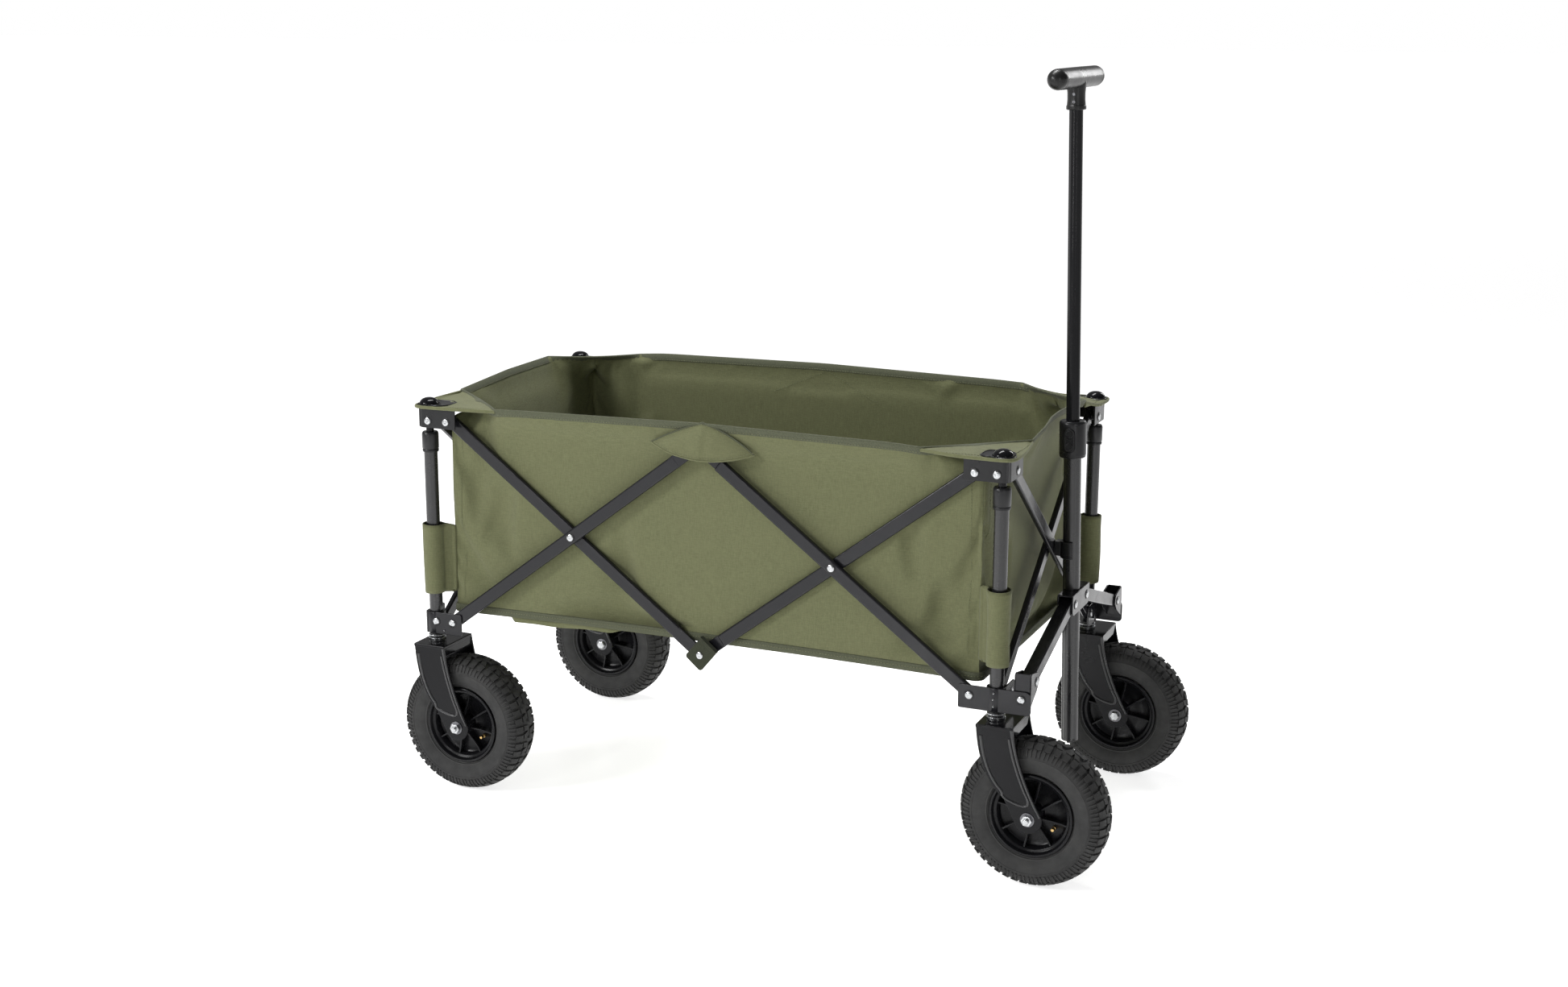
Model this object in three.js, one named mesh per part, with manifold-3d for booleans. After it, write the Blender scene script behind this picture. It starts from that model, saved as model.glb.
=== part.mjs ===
// Folding wagon with a pull handle. Millimetres, +Z up, +X the pulling end, +Y the left side.
// Corners are named rear/front and right/left: rr, rl, fr, fl. The right side (-Y) is designed,
// and the left side is its mirror image.
import * as THREE from 'three';
import { mergeVertices } from 'three/addons/utils/BufferGeometryUtils.js';
import Module from 'manifold-3d';

const wasm = await Module();
wasm.setup();

// ---------------------------------------------------------------- driving dimensions

const POST_X = 466.5; // half the distance between front and rear posts
const POST_Y = 242.4; // half the distance between right and left posts
const SIDE_INSET = 37; // side bar pivot, inboard of its post
const SIDE_REACH = POST_X - SIDE_INSET; // from the middle of a side to an outer bar pivot
const END_REACH = SIDE_REACH / 2; // from the middle of an end to a bar pivot
const LOW_Z = 272; // lower row of bar pivots
const TOP_Z = 596; // upper row of bar pivots
const BAR_LENGTH = Math.hypot(SIDE_REACH, TOP_Z - LOW_Z); // pivot to pivot
const BAR_ANGLE = Math.atan2(TOP_Z - LOW_Z, SIDE_REACH);
const BAR_HEIGHT = 20;
const BAR_THICK = 9;
const BAR_WALL = 1.6;
const LAYER_GAP = 0.4;
const CLEAR = 0.3; // gap between pieces that rest on each other

const OUTER_Y = POST_Y + 13; // outer face of the corner brackets, on the long sides
const OUTER_X = POST_X + 13.5; // the same, on the short ends
const PLATE = 2.5; // bracket sheet

const PIN_R = 3;
const PIN_ROOT = 0.5; // how far a pin's shank runs into its head
const HOLE_R = 3.4;
const HEAD_R = 6;
const HEAD_HEIGHT = 2.4;
const ROUND = 10; // sides of a small round
const SOFT_ROUND = 16; // sides of a larger one
const POLE_SIDES = 20;
const ROOT = 1; // how far a joined piece runs into its neighbour, or a cutting piece past it

const TYRE_SIDES = 28;
const TYRE_R = 110;
const AXLE_Z = TYRE_R * Math.cos(Math.PI / TYRE_SIDES); // the tyre stands on one flat
const TYRE_HALF = 31;
const FRONT_TRAIL = 63; // axle ahead of its post
const REAR_TRAIL = 56;
const AXLE_R = 5;
const NUT_END = 53; // end of the axle bolt, from the wheel's middle plane
const FORK_HALF = 41; // outer face of a fork leg, from the wheel's middle plane
const FORK_SHEET = 3;
const CROWN_Z = 241; // top of a fork

const POLE_LEAN = THREE.MathUtils.degToRad(1.5); // the pole leans back towards the bag
const TILT_X = 506.4; // axis on which the handle tilts forward
const TILT_Z = 275;
const YOKE_Y = 226; // lower pivots of the handle arms
const YOKE_Z = 295;
const HUB_Y = 31; // upper pivots of the handle arms
const HUB_Z = 357;
const ARM_X = 507.6;
const ARM_WIDE = 19;

const BAG_X = 440; // outer faces of the bag's ends
const BAG_Y = 233; // outer faces of the bag's sides
const BAG_LOW = 288;
const BAG_TOP = 617;
const CLOTH = 2;
const BAG_SLIT = 1; // gap between neighbouring bag panels
const FLOOR_Z = 291;
const FLOOR_THICK = 5;

// the wheels reach further ahead of the posts than behind them, so the middle is off centre
const MIDDLE_X = (FRONT_TRAIL + REAR_TRAIL) / 2;

// ---------------------------------------------------------------- materials

const material = (color, roughness, metalness) =>
  new THREE.MeshStandardMaterial({ color, roughness, metalness });
const painted = () => material(0x1b1b1d, 0.42, 0.6);
const gloss = () => material(0x0c0c0d, 0.22, 0.6);
const plastic = () => material(0x1c1c1e, 0.55, 0);
const rubber = () => material(0x1a1a1a, 0.85, 0);
const canvas = () => material(0x5f6446, 0.9, 0);

// ---------------------------------------------------------------- solids

const wagon = new THREE.Group();
wagon.position.x = -MIDDLE_X;

function solid(geometry) {
  const bare = geometry.index ? geometry.toNonIndexed() : geometry.clone();
  bare.deleteAttribute('normal');
  bare.deleteAttribute('uv');
  const merged = mergeVertices(bare, 1e-4);
  const corners = Array.from(merged.index.array);
  const faces = [];
  for (let i = 0; i < corners.length; i += 3) {
    const [a, b, c] = corners.slice(i, i + 3);
    if (a !== b && b !== c && c !== a) faces.push(a, b, c);
  }
  return new wasm.Manifold(
    new wasm.Mesh({
      numProp: 3,
      vertProperties: new Float32Array(merged.attributes.position.array),
      triVerts: new Uint32Array(faces),
    }),
  );
}

const union = (...parts) => parts.reduce((sum, part) => sum.add(part));
const cut = (body, ...tools) => tools.reduce((rest, tool) => rest.subtract(tool), body);

function place(name, body, look, mirrored = false) {
  const { vertProperties, triVerts } = body.getMesh();
  const points = Float32Array.from(vertProperties);
  const faces = Uint32Array.from(triVerts);
  if (mirrored) {
    for (let i = 1; i < points.length; i += 3) points[i] = -points[i];
    for (let i = 0; i < faces.length; i += 3) [faces[i], faces[i + 1]] = [faces[i + 1], faces[i]];
  }
  const geometry = new THREE.BufferGeometry();
  geometry.setAttribute('position', new THREE.BufferAttribute(points, 3));
  geometry.setIndex(new THREE.BufferAttribute(faces, 1));
  geometry.computeVertexNormals();
  const mesh = new THREE.Mesh(geometry, look);
  mesh.name = name;
  wagon.add(mesh);
}

function box(x0, x1, y0, y1, z0, z1) {
  const geometry = new THREE.BoxGeometry(x1 - x0, y1 - y0, z1 - z0);
  return solid(geometry.translate((x0 + x1) / 2, (y0 + y1) / 2, (z0 + z1) / 2));
}

// a cylinder between two stations on an axis through (u, v), the axis's other two coordinates
function cylinder(axis, radius, from, to, u, v, sides = ROUND) {
  const geometry = new THREE.CylinderGeometry(radius, radius, to - from, sides);
  const mid = (from + to) / 2;
  if (axis === 'x') return solid(geometry.rotateZ(-Math.PI / 2).translate(mid, u, v));
  if (axis === 'y') return solid(geometry.translate(u, mid, v));
  return solid(geometry.rotateX(Math.PI / 2).translate(u, v, mid));
}

// a closed ring or a turned body about the Z axis, from [radius, z] pairs
function turned(profile, sides, phase = 0) {
  const points = profile.map(([r, z]) => new THREE.Vector2(r, z));
  const geometry = new THREE.LatheGeometry(points, sides, phase);
  return solid(geometry.rotateX(Math.PI / 2));
}

const ring = (inner, outer, z0, z1, sides) =>
  turned([[inner, z0], [outer, z0], [outer, z1], [inner, z1], [inner, z0]], sides);

// a low domed head on a pin, pointing along an axis from a face
function head(axis, face, outward, u, v) {
  const [a, b] = outward > 0 ? [face - ROOT, face + HEAD_HEIGHT] : [face - HEAD_HEIGHT, face + ROOT];
  return cylinder(axis, HEAD_R, a, b, u, v, ROUND);
}

// ---------------------------------------------------------------- posts and sliding rods

const TUBE_R = 10.5;
const TUBE_BORE = 8.7;
const TUBE_LOW = 250;
const TUBE_TOP = 565.5;
const COLLAR_R = 13;
const COLLAR_LOW = 545.5;
const COLLAR_TOP = 577;
const ROD_R = 6;
const ROD_SIDES = 12;
const ROD_LOW = 300;
const CAP_R = 15;
const CAP_Z = 621;
const CAP_TOP = 631;

function post() {
  return ring(TUBE_BORE, TUBE_R, TUBE_LOW, TUBE_TOP, SOFT_ROUND);
}

function collar() {
  const [bore, socket, ledge] = [ROD_R + 0.5, TUBE_R + CLEAR, TUBE_TOP + CLEAR];
  return turned(
    [
      [socket, COLLAR_LOW],
      [COLLAR_R, COLLAR_LOW],
      [COLLAR_R, COLLAR_TOP],
      [bore, COLLAR_TOP],
      [bore, ledge],
      [socket, ledge],
      [socket, COLLAR_LOW],
    ],
    SOFT_ROUND,
  );
}

function rod() {
  return turned(
    [
      [0, ROD_LOW],
      [ROD_R, ROD_LOW],
      [ROD_R, CAP_Z],
      [CAP_R, CAP_Z],
      [CAP_R * 0.88, CAP_Z + 5],
      [CAP_R * 0.5, CAP_TOP - 1.5],
      [0, CAP_TOP],
    ],
    ROD_SIDES,
  );
}

// ---------------------------------------------------------------- scissor bars

const SIDE_OUTER = -OUTER_Y + PLATE + CLEAR; // outer face of the outer bars, on the right side
const SIDE_INNER = SIDE_OUTER + BAR_THICK + LAYER_GAP;
const END_OUTER = OUTER_X - PLATE - CLEAR; // outer face of the outer bars, at the front
const END_INNER = END_OUTER - BAR_THICK - LAYER_GAP;
const TONGUE = 42; // length of the half-thickness end at a centre hinge
const TONGUE_ROOT = 0.5;
const HALF = (BAR_THICK - LAYER_GAP) / 2;
const DISC_R = 15;
const SOLID_TIP = 16; // the bar's tube is closed this close to a plain end's pivot
const SLOT_FROM = 17; // the open slot at the end of a crossing bar
const SLOT_SIDE = 3;
const SLOT_HALF = 2;

// A bar lies along +X from its start pivot, with its outer face at y = 0 and its inner face at
// y = BAR_THICK. An end is 'plain', or a tongue on the bar's 'outer' or 'inner' half.
function bar({ start = 'plain', end = 'plain', disc = false }) {
  const half = BAR_HEIGHT / 2;
  const slab = (kind) => (kind === 'inner' ? [BAR_THICK - HALF, BAR_THICK] : [0, HALF]);
  const from = start === 'plain' ? 0 : TONGUE;
  const to = BAR_LENGTH - (end === 'plain' ? 0 : TONGUE);
  let body = box(from, to, 0, BAR_THICK, -half, half);
  for (const [kind, x, edge] of [[start, 0, from], [end, BAR_LENGTH, to]]) {
    const [y0, y1] = kind === 'plain' ? [0, BAR_THICK] : slab(kind);
    body = body.add(cylinder('y', half, y0, y1, x, 0, 12));
    if (kind !== 'plain') {
      const [x0, x1] = x < edge ? [x, edge + TONGUE_ROOT] : [edge - TONGUE_ROOT, x];
      body = body.add(box(x0, x1, y0, y1, -half, half));
    }
  }
  if (disc) body = body.add(cylinder('y', DISC_R, 0, HALF, BAR_LENGTH, 0, SOFT_ROUND));
  const closed = (kind) => (kind === 'plain' ? SOLID_TIP : TONGUE - 2);
  const bore = box(
    closed(start),
    BAR_LENGTH - closed(end),
    BAR_WALL,
    BAR_THICK - BAR_WALL,
    BAR_WALL - half,
    half - BAR_WALL,
  );
  return { body, bore, start, end };
}

function finishBar({ body, bore, start, end }, { holes = [], pins = [] }) {
  let hollow = bore;
  if (start === 'plain' && end === 'plain') {
    const [x0, x1] = [BAR_LENGTH - SLOT_FROM, BAR_LENGTH + BAR_HEIGHT];
    hollow = hollow.add(box(x0, x1, SLOT_SIDE, BAR_THICK - SLOT_SIDE, -SLOT_HALF, SLOT_HALF));
  }
  let result = cut(body, hollow);
  for (const x of holes) {
    result = result.subtract(cylinder('y', HOLE_R, -ROOT, BAR_THICK + ROOT, x, 0));
  }
  for (const [x, depth] of pins) {
    const shank = cylinder('y', PIN_R, -PIN_ROOT, depth, x, 0);
    result = union(result, shank, head('y', 0, -1, x, 0));
  }
  return result;
}

// turn a bar from its own axes into the side plane: start pivot, rising or falling
function onSide(body, x, z, rising, face) {
  const angle = THREE.MathUtils.radToDeg(BAR_ANGLE) * (rising ? -1 : 1);
  return body.rotate([0, angle, 0]).translate([x, face, z]);
}

// the same for an end plane: the bar runs along the end, its outer face looks along +X or -X
function onEnd(body, rising, face, outward) {
  const angle = THREE.MathUtils.radToDeg(BAR_ANGLE) * (rising ? -1 : 1);
  const start = rising ? LOW_Z : TOP_Z;
  const turnedRound = body.rotate([0, angle, 0]).rotate([0, 0, outward * 90]);
  return turnedRound.translate([outward * face, -outward * END_REACH, start]);
}

const MID = BAR_LENGTH / 2;
const REACH_THROUGH = 2 * BAR_THICK + LAYER_GAP; // a pin through both layers

function sideBars(mirrored, side) {
  const tip = HALF + LAYER_GAP + HALF;
  const a1 = finishBar(bar({ end: 'outer' }), {
    holes: [0],
    pins: [[MID, REACH_THROUGH], [BAR_LENGTH, tip]],
  });
  const a2 = finishBar(bar({ end: 'outer', disc: true }), {
    holes: [0, MID],
    pins: [[BAR_LENGTH, tip]],
  });
  const a3 = finishBar(bar({ start: 'inner' }), {
    holes: [0, BAR_LENGTH],
    pins: [[MID, REACH_THROUGH]],
  });
  const a4 = finishBar(bar({ start: 'inner' }), { holes: [0, MID, BAR_LENGTH] });
  const made = [
    ['rear_low', onSide(a1, -SIDE_REACH, LOW_Z, true, SIDE_OUTER)],
    ['rear_high', onSide(a2, -SIDE_REACH, TOP_Z, false, SIDE_INNER)],
    ['front_low', onSide(a3, 0, TOP_Z, false, SIDE_OUTER)],
    ['front_high', onSide(a4, 0, LOW_Z, true, SIDE_INNER)],
  ];
  for (const [name, body] of made) place(`side_bar_${name}_${side}`, body, painted(), mirrored);
}

// The outer end bar falls from the right top corner to the left lower one, and carries the
// crossing pin. At the rear the pair is turned to face backwards, so each is built mirrored.
function endBars(end, mirrored) {
  const outer = finishBar(bar({}), { holes: [0, BAR_LENGTH], pins: [[MID, REACH_THROUGH]] });
  const inner = finishBar(bar({}), { holes: [0, MID, BAR_LENGTH] });
  const outward = end === 'front' ? 1 : -1;
  const rising = mirrored;
  place(`end_bar_outer_${end}`, onEnd(outer, rising, END_OUTER, outward), painted());
  place(`end_bar_inner_${end}`, onEnd(inner, !rising, END_INNER, outward), painted());
}

// ---------------------------------------------------------------- corner brackets

const BEND_R = 6;
const LEG_FROM = 413; // inboard end of a bracket's long leg
const EAR_TO = 521; // outboard end of a front lower bracket
const SPARE_PIN = 7.5; // the second head on a leg, inboard of the post

// the rounded corner between a bracket's two legs
function bracketBend(low, high) {
  const [x, y] = [OUTER_X - BEND_R, -OUTER_Y + BEND_R];
  const [under, over] = [low - ROOT, high + ROOT];
  const beyond = BEND_R + ROOT;
  return cut(
    cylinder('z', BEND_R, low, high, x, y, SOFT_ROUND),
    cylinder('z', BEND_R - PLATE, under, over, x, y, SOFT_ROUND),
    box(x - beyond, x, y - beyond, y + beyond, under, over),
    box(x - beyond, x + beyond, y, y + beyond, under, over),
  );
}

// An L of sheet round the outside of a corner, a hub round the post or rod, and a pivot pin on
// each leg. Built for the front right corner; flip puts it at the rear. An ear carries the pin
// of a handle yoke.
function bracket({ low, high, endTo, hubR, boreR, pinZ, sideLayer, endLayer, flip, ear }) {
  const legTo = ear ? EAR_TO : OUTER_X - BEND_R;
  const sidePlate = box(LEG_FROM, legTo, -OUTER_Y, -OUTER_Y + PLATE, low, high);
  const endPlate = box(OUTER_X - PLATE, OUTER_X, -OUTER_Y + BEND_R, endTo, low, high);
  const hub = cylinder('z', hubR, low, high, POST_X, -POST_Y, SOFT_ROUND);
  const sideFace = -OUTER_Y + PLATE - ROOT;
  const endFace = OUTER_X - ROOT;
  const sideTip = (sideLayer === 'outer' ? SIDE_OUTER : SIDE_INNER) + BAR_THICK;
  const endTip = (endLayer === 'outer' ? END_OUTER : END_INNER) - BAR_THICK;
  const parts = [
    sidePlate,
    endPlate,
    bracketBend(low, high),
    hub,
    cylinder('y', PIN_R, sideFace, sideTip, SIDE_REACH, pinZ),
    head('y', -OUTER_Y, -1, SIDE_REACH, pinZ),
    cylinder('x', PIN_R, endTip, endFace, -END_REACH, pinZ),
    head('x', OUTER_X, 1, -END_REACH, pinZ),
  ];
  if (sideLayer === 'inner') {
    parts.push(cylinder('y', HEAD_R, sideFace, SIDE_INNER - CLEAR, SIDE_REACH, pinZ));
  }
  if (endLayer === 'inner') {
    parts.push(cylinder('x', HEAD_R, END_INNER + CLEAR, endFace, -END_REACH, pinZ));
  }
  if (ear) {
    const tip = -OUTER_Y + 2 * (PLATE + CLEAR);
    parts.push(cylinder('y', PIN_R, sideFace, tip, TILT_X, TILT_Z));
    parts.push(head('y', -OUTER_Y, -1, TILT_X, TILT_Z));
  } else {
    parts.push(head('y', -OUTER_Y, -1, POST_X - SPARE_PIN, pinZ));
  }
  const bore = cylinder('z', boreR, low - ROOT, high + ROOT, POST_X, -POST_Y, SOFT_ROUND);
  const body = union(...parts).subtract(bore);
  return flip ? body.rotate([0, 0, 180]) : body;
}

const TOP_BRACKET = {
  low: 585,
  high: 616,
  endTo: -191,
  hubR: 12.6,
  boreR: ROD_R + CLEAR,
  pinZ: TOP_Z,
};
const LOW_BRACKET = {
  low: 252,
  high: 287,
  endTo: -200,
  hubR: 14.6,
  boreR: TUBE_R + CLEAR,
  pinZ: LOW_Z,
};

// ---------------------------------------------------------------- wheels and forks

function tyre() {
  const right = [
    [60, -20],
    [76, -30],
    [93, -TYRE_HALF],
    [104, -24],
    [TYRE_R, -13],
  ];
  const casing = [
    [66, 14],
    [84, 25],
    [101, 10],
    [101, -10],
    [84, -25],
    [66, -14],
  ];
  const left = right.map(([r, y]) => [r, -y]).reverse();
  const profile = [...right, ...left, ...casing, right[0]];
  return turned(profile, TYRE_SIDES, Math.PI / TYRE_SIDES);
}

const RIM_R = 57.5;
const LIP_R = 61.5;
const SPOKES = 8;
const RIM_SIDES = 24;
const HUB_R = 17;
const HUB_HALF = 34;
const WELL_R = 50; // inside of the rim's well, where the spokes end
const WELL_HALF = 27;
const RIB = { half: 1.5, low: -22, high: 22 };

function rim() {
  const half = [
    [AXLE_R + 0.4, -HUB_HALF],
    [HUB_R, -HUB_HALF],
    [HUB_R, -6],
    [WELL_R, -5],
    [WELL_R, -WELL_HALF],
    [LIP_R, -WELL_HALF],
    [RIM_R, -20],
  ];
  const other = half.map(([r, y]) => [r, -y]).reverse();
  let body = turned([...half, [RIM_R - 4, 0], ...other, half[0]], RIM_SIDES);
  const rib = box(HUB_R - ROOT, WELL_R + ROOT, -RIB.half, RIB.half, RIB.low, RIB.high);
  for (let i = 0; i < SPOKES; i += 1) {
    body = body.add(rib.rotate([0, 0, (i * 360) / SPOKES]));
  }
  return body;
}

const EYE_R = 21; // round end of a fork leg, about the axle
const CROWN_BACK = -17;
const CROWN_AHEAD = 38;
const STEM_PIN_R = 11.5;
const BOSS_R = 10;
const BOSS_FACE = 35; // a fork's inner faces at the axle, from the wheel's middle plane

// one fork leg, seen from the side: a curved pressing from the crown down to the axle eye
function forkLeg(trail) {
  const leg = new THREE.Shape();
  leg.moveTo(CROWN_BACK, CROWN_Z);
  leg.quadraticCurveTo(-12, 165, trail - 36, AXLE_Z + 26);
  leg.lineTo(trail - 16, AXLE_Z - 13.6);
  leg.absarc(trail, AXLE_Z, EYE_R, Math.PI * 1.225, Math.PI * 2.1, false);
  leg.quadraticCurveTo(46, 180, CROWN_AHEAD, CROWN_Z);
  leg.closePath();
  const settings = { depth: FORK_SHEET, bevelEnabled: false, curveSegments: 5 };
  return solid(new THREE.ExtrudeGeometry(leg, settings).rotateX(Math.PI / 2));
}

// two legs, the crown across them, the swivel pin, and the axle bolt with its head and nut
function fork(trail) {
  const leg = forkLeg(trail);
  const inner = FORK_HALF - FORK_SHEET;
  return union(
    leg.translate([0, -inner, 0]),
    leg.translate([0, FORK_HALF, 0]),
    box(CROWN_BACK, CROWN_AHEAD, -FORK_HALF, FORK_HALF, CROWN_Z - FORK_SHEET, CROWN_Z),
    cylinder('z', STEM_PIN_R, CROWN_Z - ROOT, TUBE_LOW - CLEAR, 0, 0, 12),
    cylinder('y', AXLE_R, -NUT_END, FORK_HALF + 3, trail, AXLE_Z),
    cylinder('y', 7.5, -NUT_END + 4, -FORK_HALF + ROOT, trail, AXLE_Z, 6),
    cylinder('y', 8, FORK_HALF - ROOT, FORK_HALF + 6, trail, AXLE_Z, 6),
    cylinder('y', BOSS_R, -inner - ROOT, -BOSS_FACE, trail, AXLE_Z),
    cylinder('y', BOSS_R, BOSS_FACE, inner + ROOT, trail, AXLE_Z),
  );
}

function wheelSet(corner, x, trail, mirrored) {
  const stand = [x, -POST_Y, 0];
  place(`fork_${corner}`, fork(trail).translate(stand), gloss(), mirrored);
  const axle = [x + trail, -POST_Y, AXLE_Z];
  place(`tyre_${corner}`, tyre().rotate([90, 0, 0]).translate(axle), rubber(), mirrored);
  place(`rim_${corner}`, rim().rotate([90, 0, 0]).translate(axle), plastic(), mirrored);
}

// ---------------------------------------------------------------- pull handle

const POLE_R = 13;
const POLE_BORE = 10.8;
const POLE_LOW = -141; // along the pole, from the tilt axis
const POLE_TOP = 321;
const INNER_R = 10;
const INNER_BORE = 8.4;
const INNER_LOW = 303;
const INNER_TOP = 846;
const CLAMP_R = 20;
const CLAMP_LOW = 300;
const CLAMP_TOP = 355;
const GRIP_R = 15;
const GRIP_HALF = 96;
const GRIP_UP = 853;
const STEM_R = 14;
const STEM_LOW = 808;
const BUTTON_UP = 328;
const BUTTON = { width: 16, height: 36, depth: 4.2, proud: 1.2, pocket: 7 };

// handle parts are drawn along +Z from the tilt axis, then leaned back
const lean = (body) =>
  body.rotate([0, -THREE.MathUtils.radToDeg(POLE_LEAN), 0]).translate([TILT_X, 0, TILT_Z]);

function innerPole() {
  return ring(INNER_BORE, INNER_R, INNER_LOW, INNER_TOP, POLE_SIDES);
}

function buttonShape(width, height, depth, at) {
  const r = width / 2;
  const rise = height / 2 - r;
  return union(
    box(-r, r, at, at + depth, BUTTON_UP - rise, BUTTON_UP + rise),
    cylinder('y', r, at, at + depth, 0, BUTTON_UP - rise, 12),
    cylinder('y', r, at, at + depth, 0, BUTTON_UP + rise, 12),
  );
}

function clamp() {
  const socket = POLE_R + CLEAR;
  const bore = INNER_R + 0.5;
  const ledge = POLE_TOP + CLEAR;
  const body = turned(
    [
      [socket, CLAMP_LOW],
      [CLAMP_R, CLAMP_LOW],
      [CLAMP_R, CLAMP_TOP - 2],
      [CLAMP_R - 2, CLAMP_TOP],
      [bore, CLAMP_TOP],
      [bore, ledge],
      [socket, ledge],
      [socket, CLAMP_LOW],
    ],
    POLE_SIDES,
  );
  const { width, height } = BUTTON;
  return body.subtract(buttonShape(width + 1, height + 1, BUTTON.pocket, -CLAMP_R - ROOT));
}

function button() {
  return buttonShape(BUTTON.width, BUTTON.height, BUTTON.depth, -CLAMP_R - BUTTON.proud);
}

function grip() {
  const pocketTop = INNER_TOP + CLEAR;
  const stem = ring(INNER_R + CLEAR, STEM_R, STEM_LOW, pocketTop, SOFT_ROUND);
  const cap = cylinder('z', STEM_R, pocketTop - ROOT, GRIP_UP, 0, 0, SOFT_ROUND);
  const end = [];
  for (let i = 0; i < 3; i += 1) {
    const a = (i * Math.PI) / 6;
    end.push([GRIP_R * Math.cos(a), GRIP_HALF + GRIP_R * Math.sin(a)]);
  }
  end.push([0, GRIP_HALF + GRIP_R]);
  const otherEnd = end.map(([r, z]) => [r, -z]).reverse();
  const bar = turned([...otherEnd, ...end], SOFT_ROUND).rotate([90, 0, 0]).translate([0, 0, GRIP_UP]);
  const pocket = cylinder('z', INNER_R + CLEAR, STEM_LOW - ROOT, pocketTop, 0, 0, SOFT_ROUND);
  return union(stem, cap, bar).subtract(pocket);
}

const CHANNEL_X0 = ARM_X - ARM_WIDE / 2 - CLEAR - PLATE; // sheet channels round the arms
const CHANNEL_X1 = ARM_X + ARM_WIDE / 2 + CLEAR + PLATE;
const CHANNEL_HALF = 46;
const CHANNEL_RISE = 16;

// the outer tube, with the channel of sheet welded on that joins both arms to it
function outerPole() {
  const [x0, x1] = [CHANNEL_X0, CHANNEL_X1];
  const [z0, z1] = [HUB_Z - CHANNEL_RISE, HUB_Z + CHANNEL_RISE];
  const beyond = CHANNEL_HALF + ROOT;
  const shell = cut(
    box(x0, x1, -CHANNEL_HALF, CHANNEL_HALF, z0, z1),
    box(x0 + PLATE, x1 - PLATE, -beyond, beyond, z0 - ROOT, z1 - PLATE),
    lean(cylinder('z', POLE_R - 1, 0, 160, 0, 0, POLE_SIDES)),
  );
  return union(
    lean(ring(POLE_BORE, POLE_R, POLE_LOW, POLE_TOP, POLE_SIDES)),
    shell,
    cylinder('x', PIN_R, x0 + ROOT, x1 - ROOT, -HUB_Y, HUB_Z),
    head('x', x1, 1, -HUB_Y, HUB_Z),
    head('x', x1, 1, HUB_Y, HUB_Z),
  );
}

const YOKE_LOW = 263;
const YOKE_TOP = 313;
const YOKE_INNER = 212;

// the yoke at the foot of an arm: tilts on the bracket's ear, and holds the arm's pivot
function yoke() {
  const [x0, x1] = [CHANNEL_X0, CHANNEL_X1];
  const back = -OUTER_Y + PLATE + CLEAR;
  const inside = [x0 + PLATE, x1 - PLATE, back + PLATE, ROOT - YOKE_INNER];
  const shell = cut(
    box(x0, x1, back, -YOKE_INNER, YOKE_LOW, YOKE_TOP),
    box(...inside, YOKE_LOW - ROOT, YOKE_TOP + ROOT),
    cylinder('y', HOLE_R, back - ROOT, back + PLATE + ROOT, TILT_X, TILT_Z),
  );
  return union(
    shell,
    cylinder('x', PIN_R, x0 + ROOT, x1 - ROOT, -YOKE_Y, YOKE_Z),
    head('x', x1, 1, -YOKE_Y, YOKE_Z),
  );
}

const ARM_SPAN = YOKE_Y - HUB_Y;
const ARM_LENGTH = Math.hypot(ARM_SPAN, HUB_Z - YOKE_Z);
const ARM_ANGLE = THREE.MathUtils.radToDeg(Math.atan2(HUB_Z - YOKE_Z, ARM_SPAN));
const ARM_CLOSED = 14; // the arm's tube is closed this close to its yoke pivot
const FREE_END = 14; // the left arm stops this far short of its hub pivot

// an arm of box tube along +Y from its yoke pivot; a short one has no hub pivot
function arm(short) {
  const half = BAR_HEIGHT / 2;
  const [x0, x1] = [-ARM_WIDE / 2, ARM_WIDE / 2];
  const end = short ? ARM_LENGTH - FREE_END : ARM_LENGTH;
  const pivots = short ? [0] : [0, end];
  let body = box(x0, x1, 0, end, -half, half);
  for (const y of pivots) body = body.add(cylinder('x', half, x0, x1, y, 0, POLE_SIDES));
  const openEnd = short ? end + ROOT : end + half + ROOT;
  const [u0, u1] = [x0 + BAR_WALL, x1 - BAR_WALL];
  body = body.subtract(box(u0, u1, ARM_CLOSED, openEnd, BAR_WALL - half, half - BAR_WALL));
  for (const y of pivots) body = body.subtract(cylinder('x', HOLE_R, x0 - ROOT, x1 + ROOT, y, 0));
  return body.rotate([ARM_ANGLE, 0, 0]).translate([ARM_X, -YOKE_Y, YOKE_Z]);
}

const CLIP = { half: 13, wall: 3, open: 6, baseHalf: 9, baseRise: 11, base: 16 };

// snap clip on the front crossing, holding the pole upright
function clip() {
  const mid = (LOW_Z + TOP_Z) / 2;
  const [low, high] = [mid - TILT_Z - CLIP.half, mid - TILT_Z + CLIP.half];
  const beyond = POLE_R + CLIP.baseHalf;
  const cuff = cut(
    ring(POLE_R + CLEAR, POLE_R + CLIP.wall, low, high, POLE_SIDES),
    box(CLIP.open, beyond, -beyond, beyond, low - ROOT, high + ROOT),
  );
  const [z0, z1] = [mid - CLIP.baseRise, mid + CLIP.baseRise];
  const base = box(END_OUTER + 1, TILT_X - CLIP.base, -CLIP.baseHalf, CLIP.baseHalf, z0, z1);
  const seat = cylinder('z', POLE_R + 1, low - beyond, high + beyond, 0, 0, POLE_SIDES);
  const pad = base.subtract(lean(seat));
  const pocketTo = END_OUTER + HEAD_HEIGHT + 2 * CLEAR;
  const pocket = cylinder('x', HEAD_R + 0.5, END_OUTER - ROOT, pocketTo, 0, mid);
  return union(lean(cuff), pad).subtract(pocket);
}

// ---------------------------------------------------------------- bag

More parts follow.
